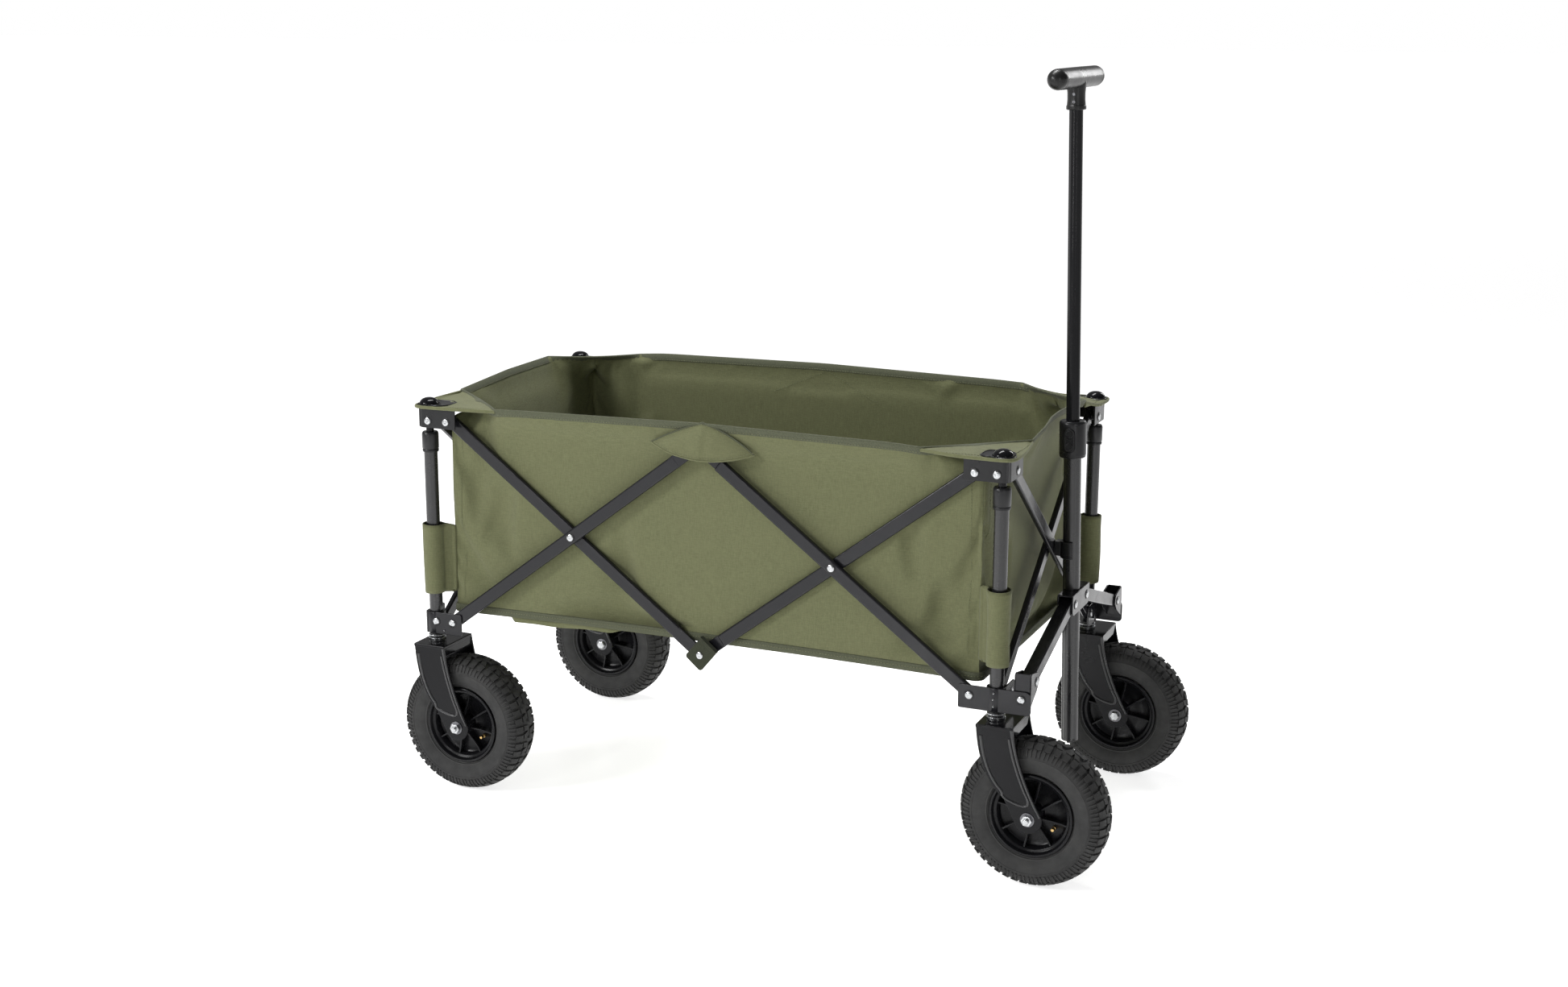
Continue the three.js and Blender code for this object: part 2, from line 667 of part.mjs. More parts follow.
const BAG_INNER_X = BAG_X - CLOTH - BAG_SLIT; // where the sides and the floor end

function bagSide() {
  return box(-BAG_INNER_X, BAG_INNER_X, -BAG_Y, -BAG_Y + CLOTH, BAG_LOW, BAG_TOP);
}

function bagEnd(outerX, innerX) {
  const [x0, x1] = [Math.min(outerX, innerX), Math.max(outerX, innerX)];
  return box(x0, x1, -BAG_Y, BAG_Y, BAG_LOW, BAG_TOP);
}

function bagFloor() {
  const side = BAG_Y - CLOTH - BAG_SLIT;
  return box(-BAG_INNER_X, BAG_INNER_X, -side, -BAG_SLIT / 2, FLOOR_Z, FLOOR_Z + FLOOR_THICK);
}

// ---------------------------------------------------------------- assembly

for (const [side, mirrored] of [['right', false], ['left', true]]) {
  for (const [end, sign, trail] of [['r', -1, REAR_TRAIL], ['f', 1, FRONT_TRAIL]]) {
    const corner = end + side[0];
    const at = [sign * POST_X, -POST_Y, 0];
    place(`post_${corner}`, post().translate(at), painted(), mirrored);
    place(`collar_${corner}`, collar().translate(at), plastic(), mirrored);
    place(`rod_${corner}`, rod().translate(at), painted(), mirrored);
    wheelSet(corner, sign * POST_X, trail, mirrored);
  }
  sideBars(mirrored, side);
  place(`bag_side_${side}`, bagSide(), canvas(), mirrored);
  place(`bag_floor_${side}`, bagFloor(), canvas(), mirrored);
  place(`handle_yoke_${side}`, yoke(), painted(), mirrored);
  place(`handle_arm_${side}`, arm(mirrored), painted(), mirrored);
}

// A bracket at the rear is the front one mirrored end for end; its right and left swap with it.
for (const [side, mirrored] of [['r', false], ['l', true]]) {
  const endLayerTop = mirrored ? 'inner' : 'outer';
  const endLayerLow = mirrored ? 'outer' : 'inner';
  const top = { ...TOP_BRACKET, sideLayer: 'inner', endLayer: endLayerTop };
  const low = { ...LOW_BRACKET, sideLayer: 'outer', endLayer: endLayerLow };
  place(`top_bracket_f${side}`, bracket(top), plastic(), mirrored);
  place(`low_bracket_f${side}`, bracket({ ...low, ear: true }), painted(), mirrored);
  place(`top_bracket_r${side}`, bracket({ ...top, flip: true }), plastic(), !mirrored);
  place(`low_bracket_r${side}`, bracket({ ...low, flip: true }), painted(), !mirrored);
}

endBars('front', false);
endBars('rear', true);
place('bag_end_rear', bagEnd(-BAG_X, -BAG_X + CLOTH), canvas());
place('bag_end_front', bagEnd(BAG_X, BAG_X - CLOTH), canvas());
place('pole_outer', outerPole(), painted());
place('pole_clamp', lean(clamp()), plastic());
place('pole_button', lean(button()), plastic());
place('pole_inner', lean(innerPole()), painted());
place('grip', lean(grip()), plastic());
place('pole_clip', clip(), plastic());

export default wagon;
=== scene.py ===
import math

import bmesh
import bpy
import numpy as np
from mathutils import Matrix, Vector


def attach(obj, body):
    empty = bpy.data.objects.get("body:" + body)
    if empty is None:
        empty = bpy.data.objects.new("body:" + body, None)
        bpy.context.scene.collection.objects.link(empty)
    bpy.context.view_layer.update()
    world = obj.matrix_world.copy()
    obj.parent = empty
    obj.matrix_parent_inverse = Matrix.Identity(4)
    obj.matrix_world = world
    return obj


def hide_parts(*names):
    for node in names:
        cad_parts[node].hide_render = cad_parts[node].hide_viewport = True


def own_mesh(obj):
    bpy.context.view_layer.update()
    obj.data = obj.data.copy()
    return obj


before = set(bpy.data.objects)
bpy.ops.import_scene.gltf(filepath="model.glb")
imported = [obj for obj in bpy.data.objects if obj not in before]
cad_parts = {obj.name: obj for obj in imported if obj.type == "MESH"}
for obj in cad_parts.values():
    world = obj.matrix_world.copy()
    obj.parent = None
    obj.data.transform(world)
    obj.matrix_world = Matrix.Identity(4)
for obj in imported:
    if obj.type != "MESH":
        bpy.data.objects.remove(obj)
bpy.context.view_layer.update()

MM = 0.001
SHIFT = -59.5

# ---------------------------------------------------------------- the frame's dimensions

POST_X, POST_Y = 466.5, 242.4
SIDE_REACH, END_REACH = 429.5, 214.75
LOW_Z, TOP_Z = 272.0, 596.0
BAR_LENGTH = math.hypot(SIDE_REACH, TOP_Z - LOW_Z)
BAR_ANGLE = math.atan2(TOP_Z - LOW_Z, SIDE_REACH)
BAR_THICK, LAYER_GAP, CLEAR, PLATE = 9.0, 0.4, 0.3, 2.5
OUTER_Y, OUTER_X = POST_Y + 13.0, POST_X + 13.5
SIDE_OUTER = -OUTER_Y + PLATE + CLEAR
SIDE_INNER = SIDE_OUTER + BAR_THICK + LAYER_GAP
END_OUTER = OUTER_X - PLATE - CLEAR
END_INNER = END_OUTER - BAR_THICK - LAYER_GAP
HALF_LAYER = (BAR_THICK - LAYER_GAP) / 2
TONGUE = 42.0
AXLE_Z = 109.3
FRONT_TRAIL, REAR_TRAIL = 63.0, 56.0
FORK_HALF, FORK_SHEET, CROWN_Z = 41.0, 3.0, 241.0
LEAN = math.radians(1.5)
TILT_X, TILT_Z = 506.4, 275.0
YOKE_Y, YOKE_Z, HUB_Y, HUB_Z = 226.0, 295.0, 31.0, 357.0
ARM_X, ARM_WIDE = 507.6, 19.0

# ---------------------------------------------------------------- shapes
# A shape is (vertices as an n by 3 array, list of faces).


def shape(verts, faces):
    return np.asarray(verts, float).reshape(-1, 3), [tuple(f) for f in faces]


def join(*shapes):
    verts, faces, base = [], [], 0
    for v, f in shapes:
        verts.append(v)
        faces += [tuple(i + base for i in face) for face in f]
        base += len(v)
    return np.vstack(verts), faces


def moved(s, x=0.0, y=0.0, z=0.0):
    return s[0] + np.array([x, y, z]), s[1]


def rotated(s, axis, angle):
    m = np.array(Matrix.Rotation(angle, 3, axis.upper()))
    return s[0] @ m.T, s[1]


def mirrored(s, sx=1, sy=1):
    verts = s[0] * np.array([sx, sy, 1.0])
    if sx * sy < 0:
        return verts, [tuple(reversed(f)) for f in s[1]]
    return verts, s[1]


def grid_faces(rows, cols, closed_rows=False, closed_cols=False):
    faces = []
    for i in range(rows if closed_rows else rows - 1):
        for j in range(cols if closed_cols else cols - 1):
            a, b = i * cols + j, i * cols + (j + 1) % cols
            c, d = ((i + 1) % rows) * cols + (j + 1) % cols, ((i + 1) % rows) * cols + j
            faces.append((a, b, c, d))
    return faces


def lathe(profile, seg=40, axis="z", closed=False):
    """Turns [radius, height] pairs about an axis. The profile goes up on the outside."""
    angles = np.linspace(0, 2 * math.pi, seg, endpoint=False)
    verts = [(r * math.cos(a), r * math.sin(a), h) for r, h in profile for a in angles]
    faces = grid_faces(len(profile), seg, closed, True)
    if not closed:
        faces.append(tuple(reversed(range(seg))))
        faces.append(tuple(range((len(profile) - 1) * seg, len(profile) * seg)))
    s = shape(verts, faces)
    if axis == "x":
        return rotated(s, "y", math.pi / 2)
    if axis == "y":
        return rotated(s, "x", -math.pi / 2)
    return s


def distances(path):
    """How far along a path each of its points is."""
    return np.concatenate([[0], np.cumsum(np.linalg.norm(np.diff(path, axis=0), axis=1))])


def rounded(x0, x1, y0, y1, radii, n=5):
    """Outline of a rectangle with rounded corners, anticlockwise from the lower left."""
    if not hasattr(radii, "__len__"):
        radii = [radii] * 4
    corners = [(x0, y0, 1, 1, 180), (x1, y0, -1, 1, 270), (x1, y1, -1, -1, 0), (x0, y1, 1, -1, 90)]
    points = []
    for (cx, cy, dx, dy, start), r in zip(corners, radii):
        if r <= 0:
            points.append((cx, cy))
            continue
        for k in range(n + 1):
            a = math.radians(start + 90 * k / n)
            points.append((cx + dx * r + r * math.cos(a), cy + dy * r + r * math.sin(a)))
    return points


def prism(outline, low, high, normal="z"):
    """An outline pushed along an axis. In the x plane it is (y, z), in y (x, z), in z (x, y)."""
    n = len(outline)
    area = sum(
        outline[i][0] * outline[(i + 1) % n][1] - outline[(i + 1) % n][0] * outline[i][1]
        for i in range(n)
    )
    points = list(outline) if (area > 0) != (normal == "y") else list(reversed(outline))

    def at(p, h):
        return {"z": (p[0], p[1], h), "y": (p[0], h, p[1]), "x": (h, p[0], p[1])}[normal]

    verts = [at(p, low) for p in points] + [at(p, high) for p in points]
    faces = [(i, (i + 1) % n, n + (i + 1) % n, n + i) for i in range(n)]
    faces += [tuple(reversed(range(n))), tuple(range(n, 2 * n))]
    return shape(verts, faces)


def block(x0, x1, y0, y1, z0, z1):
    return prism([(x0, y0), (x1, y0), (x1, y1), (x0, y1)], z0, z1)


def sweep(path, section, closed=False, up=(0, 0, 1)):
    """A section of (sideways, up) pairs carried along a path."""
    path = np.asarray(path, float)
    n = len(path)
    ahead = np.roll(path, -1, 0) - path
    if not closed:
        ahead[-1] = ahead[-2]
    behind = np.roll(ahead, 1, 0)
    if not closed:
        behind[0] = ahead[0]
    tangent = ahead / np.linalg.norm(ahead, axis=1)[:, None]
    tangent = tangent + behind / np.linalg.norm(behind, axis=1)[:, None]
    tangent /= np.linalg.norm(tangent, axis=1)[:, None]
    ups = np.asarray(up, float)
    ups = np.tile(ups, (n, 1)) if ups.ndim == 1 else ups
    side = np.cross(tangent, ups)
    side /= np.linalg.norm(side, axis=1)[:, None]
    top = np.cross(side, tangent)
    section = np.asarray(section, float)
    verts = path[:, None] + side[:, None] * section[None, :, :1] + top[:, None] * section[None, :, 1:]
    m = len(section)
    faces = [tuple(reversed(f)) for f in grid_faces(n, m, closed, True)]
    if not closed:
        faces += [tuple(range(m)), tuple(reversed(range((n - 1) * m, n * m)))]
    return shape(verts.reshape(-1, 3), faces)


def circle(r, n=8):
    return [(r * math.cos(2 * math.pi * k / n), r * math.sin(2 * math.pi * k / n)) for k in range(n)]


def smooth_path(points, steps):
    """A curve through the points."""
    p = np.asarray(points, float)
    n = len(p)
    out = []
    for i in range(n - 1):
        a, b, c, d = p[max(i - 1, 0)], p[i], p[i + 1], p[min(i + 2, n - 1)]
        for k in range(steps):
            t = k / steps
            square, cube = 2 * a - 5 * b + 4 * c - d, 3 * b - a - 3 * c + d
            out.append(0.5 * (2 * b + (c - a) * t + square * t * t + cube * t**3))
    return np.array([*out, p[-1]])


def lean(s):
    """From along the pole, measured from the tilt axis, to where the pole stands."""
    return moved(rotated(s, "y", -LEAN), TILT_X, 0, TILT_Z)


# ---------------------------------------------------------------- pieces


def piece(name, s, look, body, stands_for=(), bevel=0.0, segments=2, levels=0, angle=32):
    verts, faces = s
    mesh = bpy.data.meshes.new(name)
    row = (verts + np.array([SHIFT, 0, 0])) * MM
    mesh.from_pydata(row.tolist(), [], [list(f) for f in faces])
    mesh.validate()
    mesh.materials.append(looks[look])
    mesh.polygons.foreach_set("use_smooth", [True] * len(mesh.polygons))
    mesh.set_sharp_from_angle(angle=math.radians(angle))
    obj = bpy.data.objects.new(name, mesh)
    bpy.context.scene.collection.objects.link(obj)
    if bevel:
        mod = obj.modifiers.new("Edges", "BEVEL")
        mod.width, mod.segments = bevel * MM, segments
        mod.limit_method, mod.angle_limit = "ANGLE", math.radians(angle)
        mod.harden_normals = True
        mod.use_clamp_overlap = True
    if levels:
        mod = obj.modifiers.new("Smooth", "SUBSURF")
        mod.levels = mod.render_levels = levels
    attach(obj, body)
    if stands_for:
        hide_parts(*([stands_for] if isinstance(stands_for, str) else stands_for))
    return obj


# ---------------------------------------------------------------- materials


class Nodes:
    """A small way of adding nodes to a material or to the surroundings."""

    def __init__(self, owner):
        owner.use_nodes = True
        self.nodes, self.links = owner.node_tree.nodes, owner.node_tree.links

    def node(self, kind, *inputs, **options):
        node = self.nodes.new(kind)
        for key, value in options.items():
            setattr(node, key, value)
        for socket, value in enumerate(inputs):
            if value is None:
                continue
            if isinstance(value, bpy.types.NodeSocket):
                self.links.new(value, node.inputs[socket])
            else:
                node.inputs[socket].default_value = value
        return node

    def math(self, operation, *inputs):
        return self.node("ShaderNodeMath", *inputs, operation=operation).outputs[0]

    def span(self, value, low, high, out_low, out_high):
        return self.node("ShaderNodeMapRange", value, low, high, out_low, out_high).outputs[0]


class Look(Nodes):
    """A material with a Principled shader."""

    def __init__(self, name, color, rough, metallic=0.0, specular=0.5, sheen=0.0):
        self.material = bpy.data.materials.new(name)
        super().__init__(self.material)
        self.shader = self.nodes["Principled BSDF"]
        self.set("Base Color", (*color, 1))
        self.set("Roughness", rough)
        self.set("Metallic", metallic)
        self.set("Specular IOR Level", specular)
        self.set("Sheen Weight", sheen)
        self.set("Sheen Roughness", 0.45)
        self.point = self.node("ShaderNodeTexCoord").outputs["Object"]
        self.height = None

    def set(self, socket, value):
        self.shader.inputs[socket].default_value = value

    def axes(self):
        return self.node("ShaderNodeSeparateXYZ", self.point).outputs

    def stretched(self, x, y, z):
        return self.node("ShaderNodeMapping", self.point, None, None, (x, y, z)).outputs[0]

    def noise(self, scale, detail=3.0, rough=0.55, at=None):
        node = self.node("ShaderNodeTexNoise", noise_dimensions="3D")
        self.links.new(at or self.point, node.inputs["Vector"])
        node.inputs["Scale"].default_value = scale
        node.inputs["Detail"].default_value = detail
        node.inputs["Roughness"].default_value = rough
        return node.outputs["Fac"]

    def blend(self, fac, one, other):
        node = self.node("ShaderNodeMix", data_type="RGBA", blend_type="MIX")
        for socket, value in ((0, fac), (6, one), (7, other)):
            if isinstance(value, bpy.types.NodeSocket):
                self.links.new(value, node.inputs[socket])
            else:
                node.inputs[socket].default_value = value if socket == 0 else (*value, 1)
        return node.outputs[2]

    def paint(self, color):
        self.links.new(color, self.shader.inputs["Base Color"])

    def gloss(self, value):
        self.links.new(value, self.shader.inputs["Roughness"])

    def bump(self, height, distance, strength=1.0):
        node = self.node("ShaderNodeBump")
        node.inputs["Strength"].default_value = strength
        node.inputs["Distance"].default_value = distance
        self.links.new(height, node.inputs["Height"])
        if self.height:
            self.links.new(self.height, node.inputs["Normal"])
        self.height = node.outputs[0]
        self.links.new(self.height, self.shader.inputs["Normal"])


CANVAS_PITCH, WEBBING_PITCH = 0.0011, 0.0016


def canvas(name, tone, across, along):
    """Plain-woven canvas. across and along give the direction of the two sets of threads."""
    look = Look(name, tone, 0.86, specular=0.22, sheen=0.12)
    axes = look.axes()

    def line(direction):
        total = look.math("MULTIPLY", axes[0], direction[0])
        total = look.math("MULTIPLY_ADD", axes[1], direction[1], total)
        return look.math("MULTIPLY_ADD", axes[2], direction[2], total)

    turn = 2 * math.pi / CANVAS_PITCH
    warp = look.math("SINE", look.math("MULTIPLY", line(across), turn))
    weft = look.math("SINE", look.math("MULTIPLY", line(along), turn))
    cross = look.math("MULTIPLY", warp, weft)
    slub = look.noise(900.0, 2.0, at=look.stretched(1.0, 1.0, 0.12))
    slub_across = look.noise(900.0, 2.0, at=look.stretched(0.12, 0.12, 1.0))
    threads = look.math("ADD", look.math("MULTIPLY", cross, 0.35), look.math("ADD", slub, slub_across))
    dark = tuple(c * 0.74 for c in tone)
    light = tuple(min(1.0, c * 1.27) for c in tone)
    worn = tuple(c * k for c, k in zip(tone, (1.12, 1.08, 1.1)))
    shade = look.blend(look.span(threads, 0.5, 1.5, 0.0, 1.0), dark, light)
    patches = look.span(look.noise(14.0, 4.0, 0.6), 0.35, 0.7, 0.0, 0.35)
    look.paint(look.blend(patches, shade, worn))
    look.bump(look.noise(60.0, 3.0), 0.0008, 0.35)
    look.bump(threads, 0.00035, 0.5)
    return look.material


def webbing(name, tone):
    look = Look(name, tone, 0.8, specular=0.25, sheen=0.1)
    axes = look.axes()
    run = look.math("ADD", axes[0], axes[1])
    ribs = look.math("SINE", look.math("MULTIPLY", run, 2 * math.pi / WEBBING_PITCH))
    slub = look.noise(700.0, 2.0)
    mixed = look.math("ADD", look.math("MULTIPLY", ribs, 0.2), slub)
    dark, light = (tuple(c * k for c in tone) for k in (0.7, 1.3))
    look.paint(look.blend(look.span(mixed, 0.3, 0.8, 0.0, 1.0), dark, light))
    look.bump(mixed, 0.0004, 0.6)
    return look.material


def coated(name, tone, rough, grain, specular, depth, dust=0.25):
    """Painted metal or moulded plastic: a fine skin, uneven gloss and a little dust."""
    look = Look(name, tone, rough, specular=specular)
    cloud = look.noise(9.0, 5.0, 0.6)
    pale = tuple(c + 0.012 for c in tone)
    look.paint(look.blend(look.span(cloud, 0.45, 0.75, 0.0, dust), tone, pale))
    look.gloss(look.span(look.noise(38.0, 4.0), 0.3, 0.7, rough - 0.05, rough + 0.07))
    look.bump(look.noise(grain, 3.0), depth, 0.6)
    return look.material


def bare_metal(name, tone, rough):
    look = Look(name, tone, rough, metallic=1.0)
    streaks = look.noise(260.0, 3.0, at=look.stretched(1.0, 1.0, 0.3))
    look.paint(look.blend(look.span(streaks, 0.3, 0.7, 0.0, 1.0), tuple(c * 0.82 for c in tone), tone))
    look.gloss(look.span(streaks, 0.3, 0.7, rough - 0.06, rough + 0.1))
    look.bump(streaks, 0.00003, 0.4)
    return look.material


def rubber(name, tone):
    look = Look(name, tone, 0.72, specular=0.38)
    cloud = look.noise(22.0, 5.0, 0.65)
    dusty = tuple(c * 1.25 + 0.012 * k for c, k in zip(tone, (1.0, 0.95, 0.85)))
    look.paint(look.blend(look.span(cloud, 0.4, 0.72, 0.0, 0.7), tone, dusty))
    look.gloss(look.span(look.noise(80.0, 3.0), 0.3, 0.7, 0.6, 0.8))
    look.bump(look.noise(420.0, 4.0), 0.00022, 0.5)
    return look.material


UPRIGHT = ((1, 1, 0), (0, 0, 1))
FLAT = ((1, 0, 0), (0, 1, 0))
OLIVE = (0.121, 0.128, 0.064)
looks = {
    "canvas": canvas("canvas", OLIVE, *UPRIGHT),
    "canvas_flat": canvas("canvas_flat", OLIVE, *FLAT),
    "binding": webbing("binding", (0.076, 0.082, 0.050)),
    "tab": webbing("tab", (0.028, 0.032, 0.018)),
    "thread": webbing("thread", (0.150, 0.160, 0.085)),
    "powder": coated("powder_coat", (0.009, 0.009, 0.011), 0.2, 1500.0, specular=0.3, depth=0.00005),
    "tube": coated("tube_paint", (0.011, 0.011, 0.012), 0.27, 1500.0, specular=0.6, depth=0.00004),
    "gloss": coated("gloss_paint", (0.004, 0.004, 0.005), 0.14, 700.0, specular=0.17, depth=0.00003, dust=0.1),
    "plastic": coated("moulded_plastic", (0.010, 0.010, 0.011), 0.3, 2400.0, specular=0.28, depth=0.00005),
    "rim": coated("rim_plastic", (0.006, 0.006, 0.007), 0.26, 1300.0, specular=0.18, depth=0.00006),
    "grip": coated("grip_plastic", (0.009, 0.009, 0.009), 0.3, 900.0, specular=0.26, depth=0.0001),
    "rubber": rubber("rubber", (0.020, 0.020, 0.020)),
    "zinc": bare_metal("zinc", (0.50, 0.51, 0.52), 0.24),
    "steel": bare_metal("dark_steel", (0.16, 0.16, 0.17), 0.34),
    "brass": bare_metal("brass", (0.70, 0.48, 0.20), 0.3),
}

# ---------------------------------------------------------------- fixings

studs = {}  # body: [zinc heads]
rings = {}  # body: [dark rings under them]


def toward(s, axis, outward, at):
    """A shape built along +axis, turned to face outward and moved to a point."""
    flip = {"x": (outward, 1, 1), "y": (1, outward, 1), "z": (1, 1, outward)}[axis]
    verts = s[0] * np.array(flip, float) + np.array(at, float)
    faces = s[1] if outward > 0 else [tuple(reversed(f)) for f in s[1]]
    return verts, faces


def stud(body, axis, at, outward, r=5.6, ring=True):
    crown = [(r * 0.94, 1.4), (r * 0.75, 2.0), (r * 0.42, 2.4), (r * 0.26, 2.2)]
    dome = [(r, -0.4), (r, 0.7), *crown, (0.02, 2.0)]
    studs.setdefault(body, []).append(toward(lathe(dome, 22, axis), axis, outward, at))
    if ring:
        washer = [(r + 1.7, -0.4), (r + 1.7, 0.45), (r + 0.9, 0.8), (r - 1.0, 0.8)]
        rings.setdefault(body, []).append(toward(lathe(washer, 22, axis), axis, outward, at))


def finish_fixings():
    for body, parts in studs.items():
        piece(f"studs_{body}", join(*parts), "zinc", body)
    for body, parts in rings.items():
        piece(f"stud_rings_{body}", join(*parts), "plastic", body)


# ---------------------------------------------------------------- posts, rods and corner brackets

SIDES = {"right": 1, "left": -1}
CORNERS = {"rr": (-1, 1), "rl": (-1, -1), "fr": (1, 1), "fl": (1, -1)}
TUBE = [(8.7, 250.0), (10.5, 250.0), (10.5, 565.5), (8.7, 565.5)]
COLLAR = [
    (10.8, 545.5), (12.3, 545.5), (12.7, 547.0), (12.7, 549.5), (12.2, 550.0), (12.4, 551.0), (13.0, 551.6),
    (13.0, 573.0), (12.5, 575.4), (11.3, 577.0), (6.5, 577.0), (6.5, 565.8), (10.8, 565.8),
]
CAP = [
    (5.5, 619.6), (15.0, 620.6), (15.2, 621.8), (14.9, 623.0), (14.0, 625.0), (12.2, 627.2), (9.5, 629.2),
    (6.0, 630.5), (2.5, 630.95), (0.02, 631.0),
]


BRACKET_X, TOP_BRACKET, LOW_BRACKET, LOW_BEND = 413.0, (585.0, 616.0), (252.0, 287.0), 6.0
PIN_R, BOSS_R, RIVET_R = 3.0, 6.0, 1.5
SHEET_BACK = -OUTER_Y + PLATE - 0.5


def arc(cx, cy, r, start, end, n=6):
    angles = [math.radians(start + (end - start) * k / n) for k in range(n + 1)]
    return [(cx + r * math.cos(a), cy + r * math.sin(a)) for a in angles]


def corner_sheet(side_from, end_to, low, high, bend):
    """Sheet bent round the outside of the front right corner."""
    cx, cy = OUTER_X - bend, -OUTER_Y + bend
    outer = [(side_from, -OUTER_Y), *arc(cx, cy, bend, 270, 360), (OUTER_X, end_to)]
    inner = [(OUTER_X - PLATE, end_to), *arc(cx, cy, bend - PLATE, 360, 270), (side_from, -OUTER_Y + PLATE)]
    return prism(outer + inner, low, high)


def boss(axis, start, end, u, v, r=BOSS_R):
    at = {"x": (0, u, v), "y": (u, 0, v)}[axis]
    return moved(lathe([(r, start), (r, end)], 20, axis), *at)


def top_bracket(corner, sx, sy):
    low, high = TOP_BRACKET
    sheet = corner_sheet(BRACKET_X, -191.0, low, high, 10.0)
    hub = lathe([(6.3, low), (12.6, low), (12.6, high), (6.3, high)], 28, closed=True)
    bar_face = END_INNER if corner in ("fl", "rl") else END_OUTER
    web = block(POST_X - 2, POST_X + 12, -OUTER_Y + 1.5, -POST_Y - 8, low + 1, high - 1)
    parts = [
        sheet,
        moved(hub, POST_X, -POST_Y),
        web,
        boss("y", SHEET_BACK, SIDE_INNER - CLEAR, SIDE_REACH, TOP_Z),
        boss("y", SHEET_BACK, SIDE_INNER + BAR_THICK, SIDE_REACH, TOP_Z, PIN_R),
        boss("x", bar_face + CLEAR, OUTER_X - 1, -END_REACH, TOP_Z),
        boss("x", bar_face - BAR_THICK, OUTER_X - 1, -END_REACH, TOP_Z, PIN_R),
    ]
    body = f"top_{corner}"
    piece(
        f"upper_corner_{corner}", mirrored(join(*parts), sx, sy), "plastic", body,
        f"top_bracket_{corner}", bevel=0.9, segments=3,
    )
    stud(body, "y", (sx * SIDE_REACH, -sy * OUTER_Y, TOP_Z), -sy)
    stud(body, "y", (sx * (POST_X - 4.5), -sy * OUTER_Y, TOP_Z), -sy)
    stud(body, "x", (sx * OUTER_X, -sy * END_REACH, TOP_Z), sx)


def low_bracket(corner, sx, sy):
    front = sx > 0
    low, high = LOW_BRACKET
    cx, cy = OUTER_X - LOW_BEND, -OUTER_Y + LOW_BEND
    bend = prism(arc(cx, cy, LOW_BEND, 270, 360) + arc(cx, cy, LOW_BEND - PLATE, 360, 270), low, high)
    radii = [3.0, 6.5, 8.0, 3.0] if front else [3.0, 0.0, 0.0, 3.0]
    reach = 521.0 if front else cx
    side = prism(rounded(BRACKET_X, reach, low, high, radii), -OUTER_Y, -OUTER_Y + PLATE, "y")
    end = prism(rounded(cy, -200.0, low, high, [0.0, 4.0, 4.0, 0.0]), OUTER_X - PLATE, OUTER_X, "x")
    ring = [(10.8, low), (14.2, low), (14.6, low + 0.8), (14.6, high - 0.8), (14.2, high), (10.8, high)]
    hub = lathe(ring, 32, closed=True)
    bar_face = END_INNER if corner in ("fr", "rr") else END_OUTER
    parts = [
        side,
        end,
        bend,
        moved(hub, POST_X, -POST_Y),
        boss("y", SHEET_BACK, SIDE_OUTER + BAR_THICK, SIDE_REACH, LOW_Z, PIN_R),
        boss("x", bar_face + CLEAR, OUTER_X - 1, -END_REACH, LOW_Z),
        boss("x", bar_face - BAR_THICK, OUTER_X - 1, -END_REACH, LOW_Z, PIN_R),
    ]
    if front:
        parts.append(boss("y", SHEET_BACK, -OUTER_Y + 2 * PLATE + 0.6, TILT_X, TILT_Z, PIN_R))
    body = f"base_{corner}"
    piece(
        f"lower_corner_{corner}", mirrored(join(*parts), sx, sy), "powder", body,
        f"low_bracket_{corner}", bevel=0.7, segments=3,
    )
    stud(body, "y", (sx * SIDE_REACH, -sy * OUTER_Y, LOW_Z), -sy)
    stud(body, "x", (sx * OUTER_X, -sy * END_REACH, LOW_Z), sx)
    if front:
        stud(body, "y", (TILT_X, -sy * OUTER_Y, TILT_Z), -sy)
        for z in (280.0, 271.0, 260.5):
            stud(body, "y", (POST_X, -sy * (POST_Y + 14.6), z), -sy, RIVET_R, False)
    else:
        stud(body, "y", (sx * (POST_X - 7.5), -sy * OUTER_Y, LOW_Z), -sy)
        stud(body, "y", (sx * (POST_X - 22.0), -sy * OUTER_Y, 258.5), -sy, RIVET_R, False)


for corner, (sx, sy) in CORNERS.items():
    at = (sx * POST_X, -sy * POST_Y)
    piece(
        f"tube_{corner}", moved(lathe(TUBE, 40, closed=True), *at), "tube", f"base_{corner}",
        f"post_{corner}", bevel=0.5,
    )
    piece(
        f"stop_{corner}", moved(lathe(COLLAR, 40, closed=True), *at), "plastic", f"base_{corner}",
        f"collar_{corner}", angle=50,
    )
    piece(
        f"slider_{corner}", moved(lathe([(5.3, 300.0), (6.0, 300.7), (6.0, 620.0)], 28), *at), "gloss",
        f"top_{corner}", f"rod_{corner}",
    )
    piece(f"cap_{corner}", moved(lathe(CAP, 40), *at), "gloss", f"top_{corner}", angle=60)
    top_bracket(corner, sx, sy)
    low_bracket(corner, sx, sy)

# ---------------------------------------------------------------- scissor bars


def stadium(x0, x1, half, n=10):
    """Outline of a bar in its own plane, from one end's centre to the other's."""
    right = [(x1 + half * math.sin(math.pi * k / n), -half * math.cos(math.pi * k / n)) for k in range(n + 1)]
    left = [(x0 - half * math.sin(math.pi * k / n), half * math.cos(math.pi * k / n)) for k in range(n + 1)]
    return right + left


BAR_HALF, TONGUE_SETBACK = 10.0, 0.25


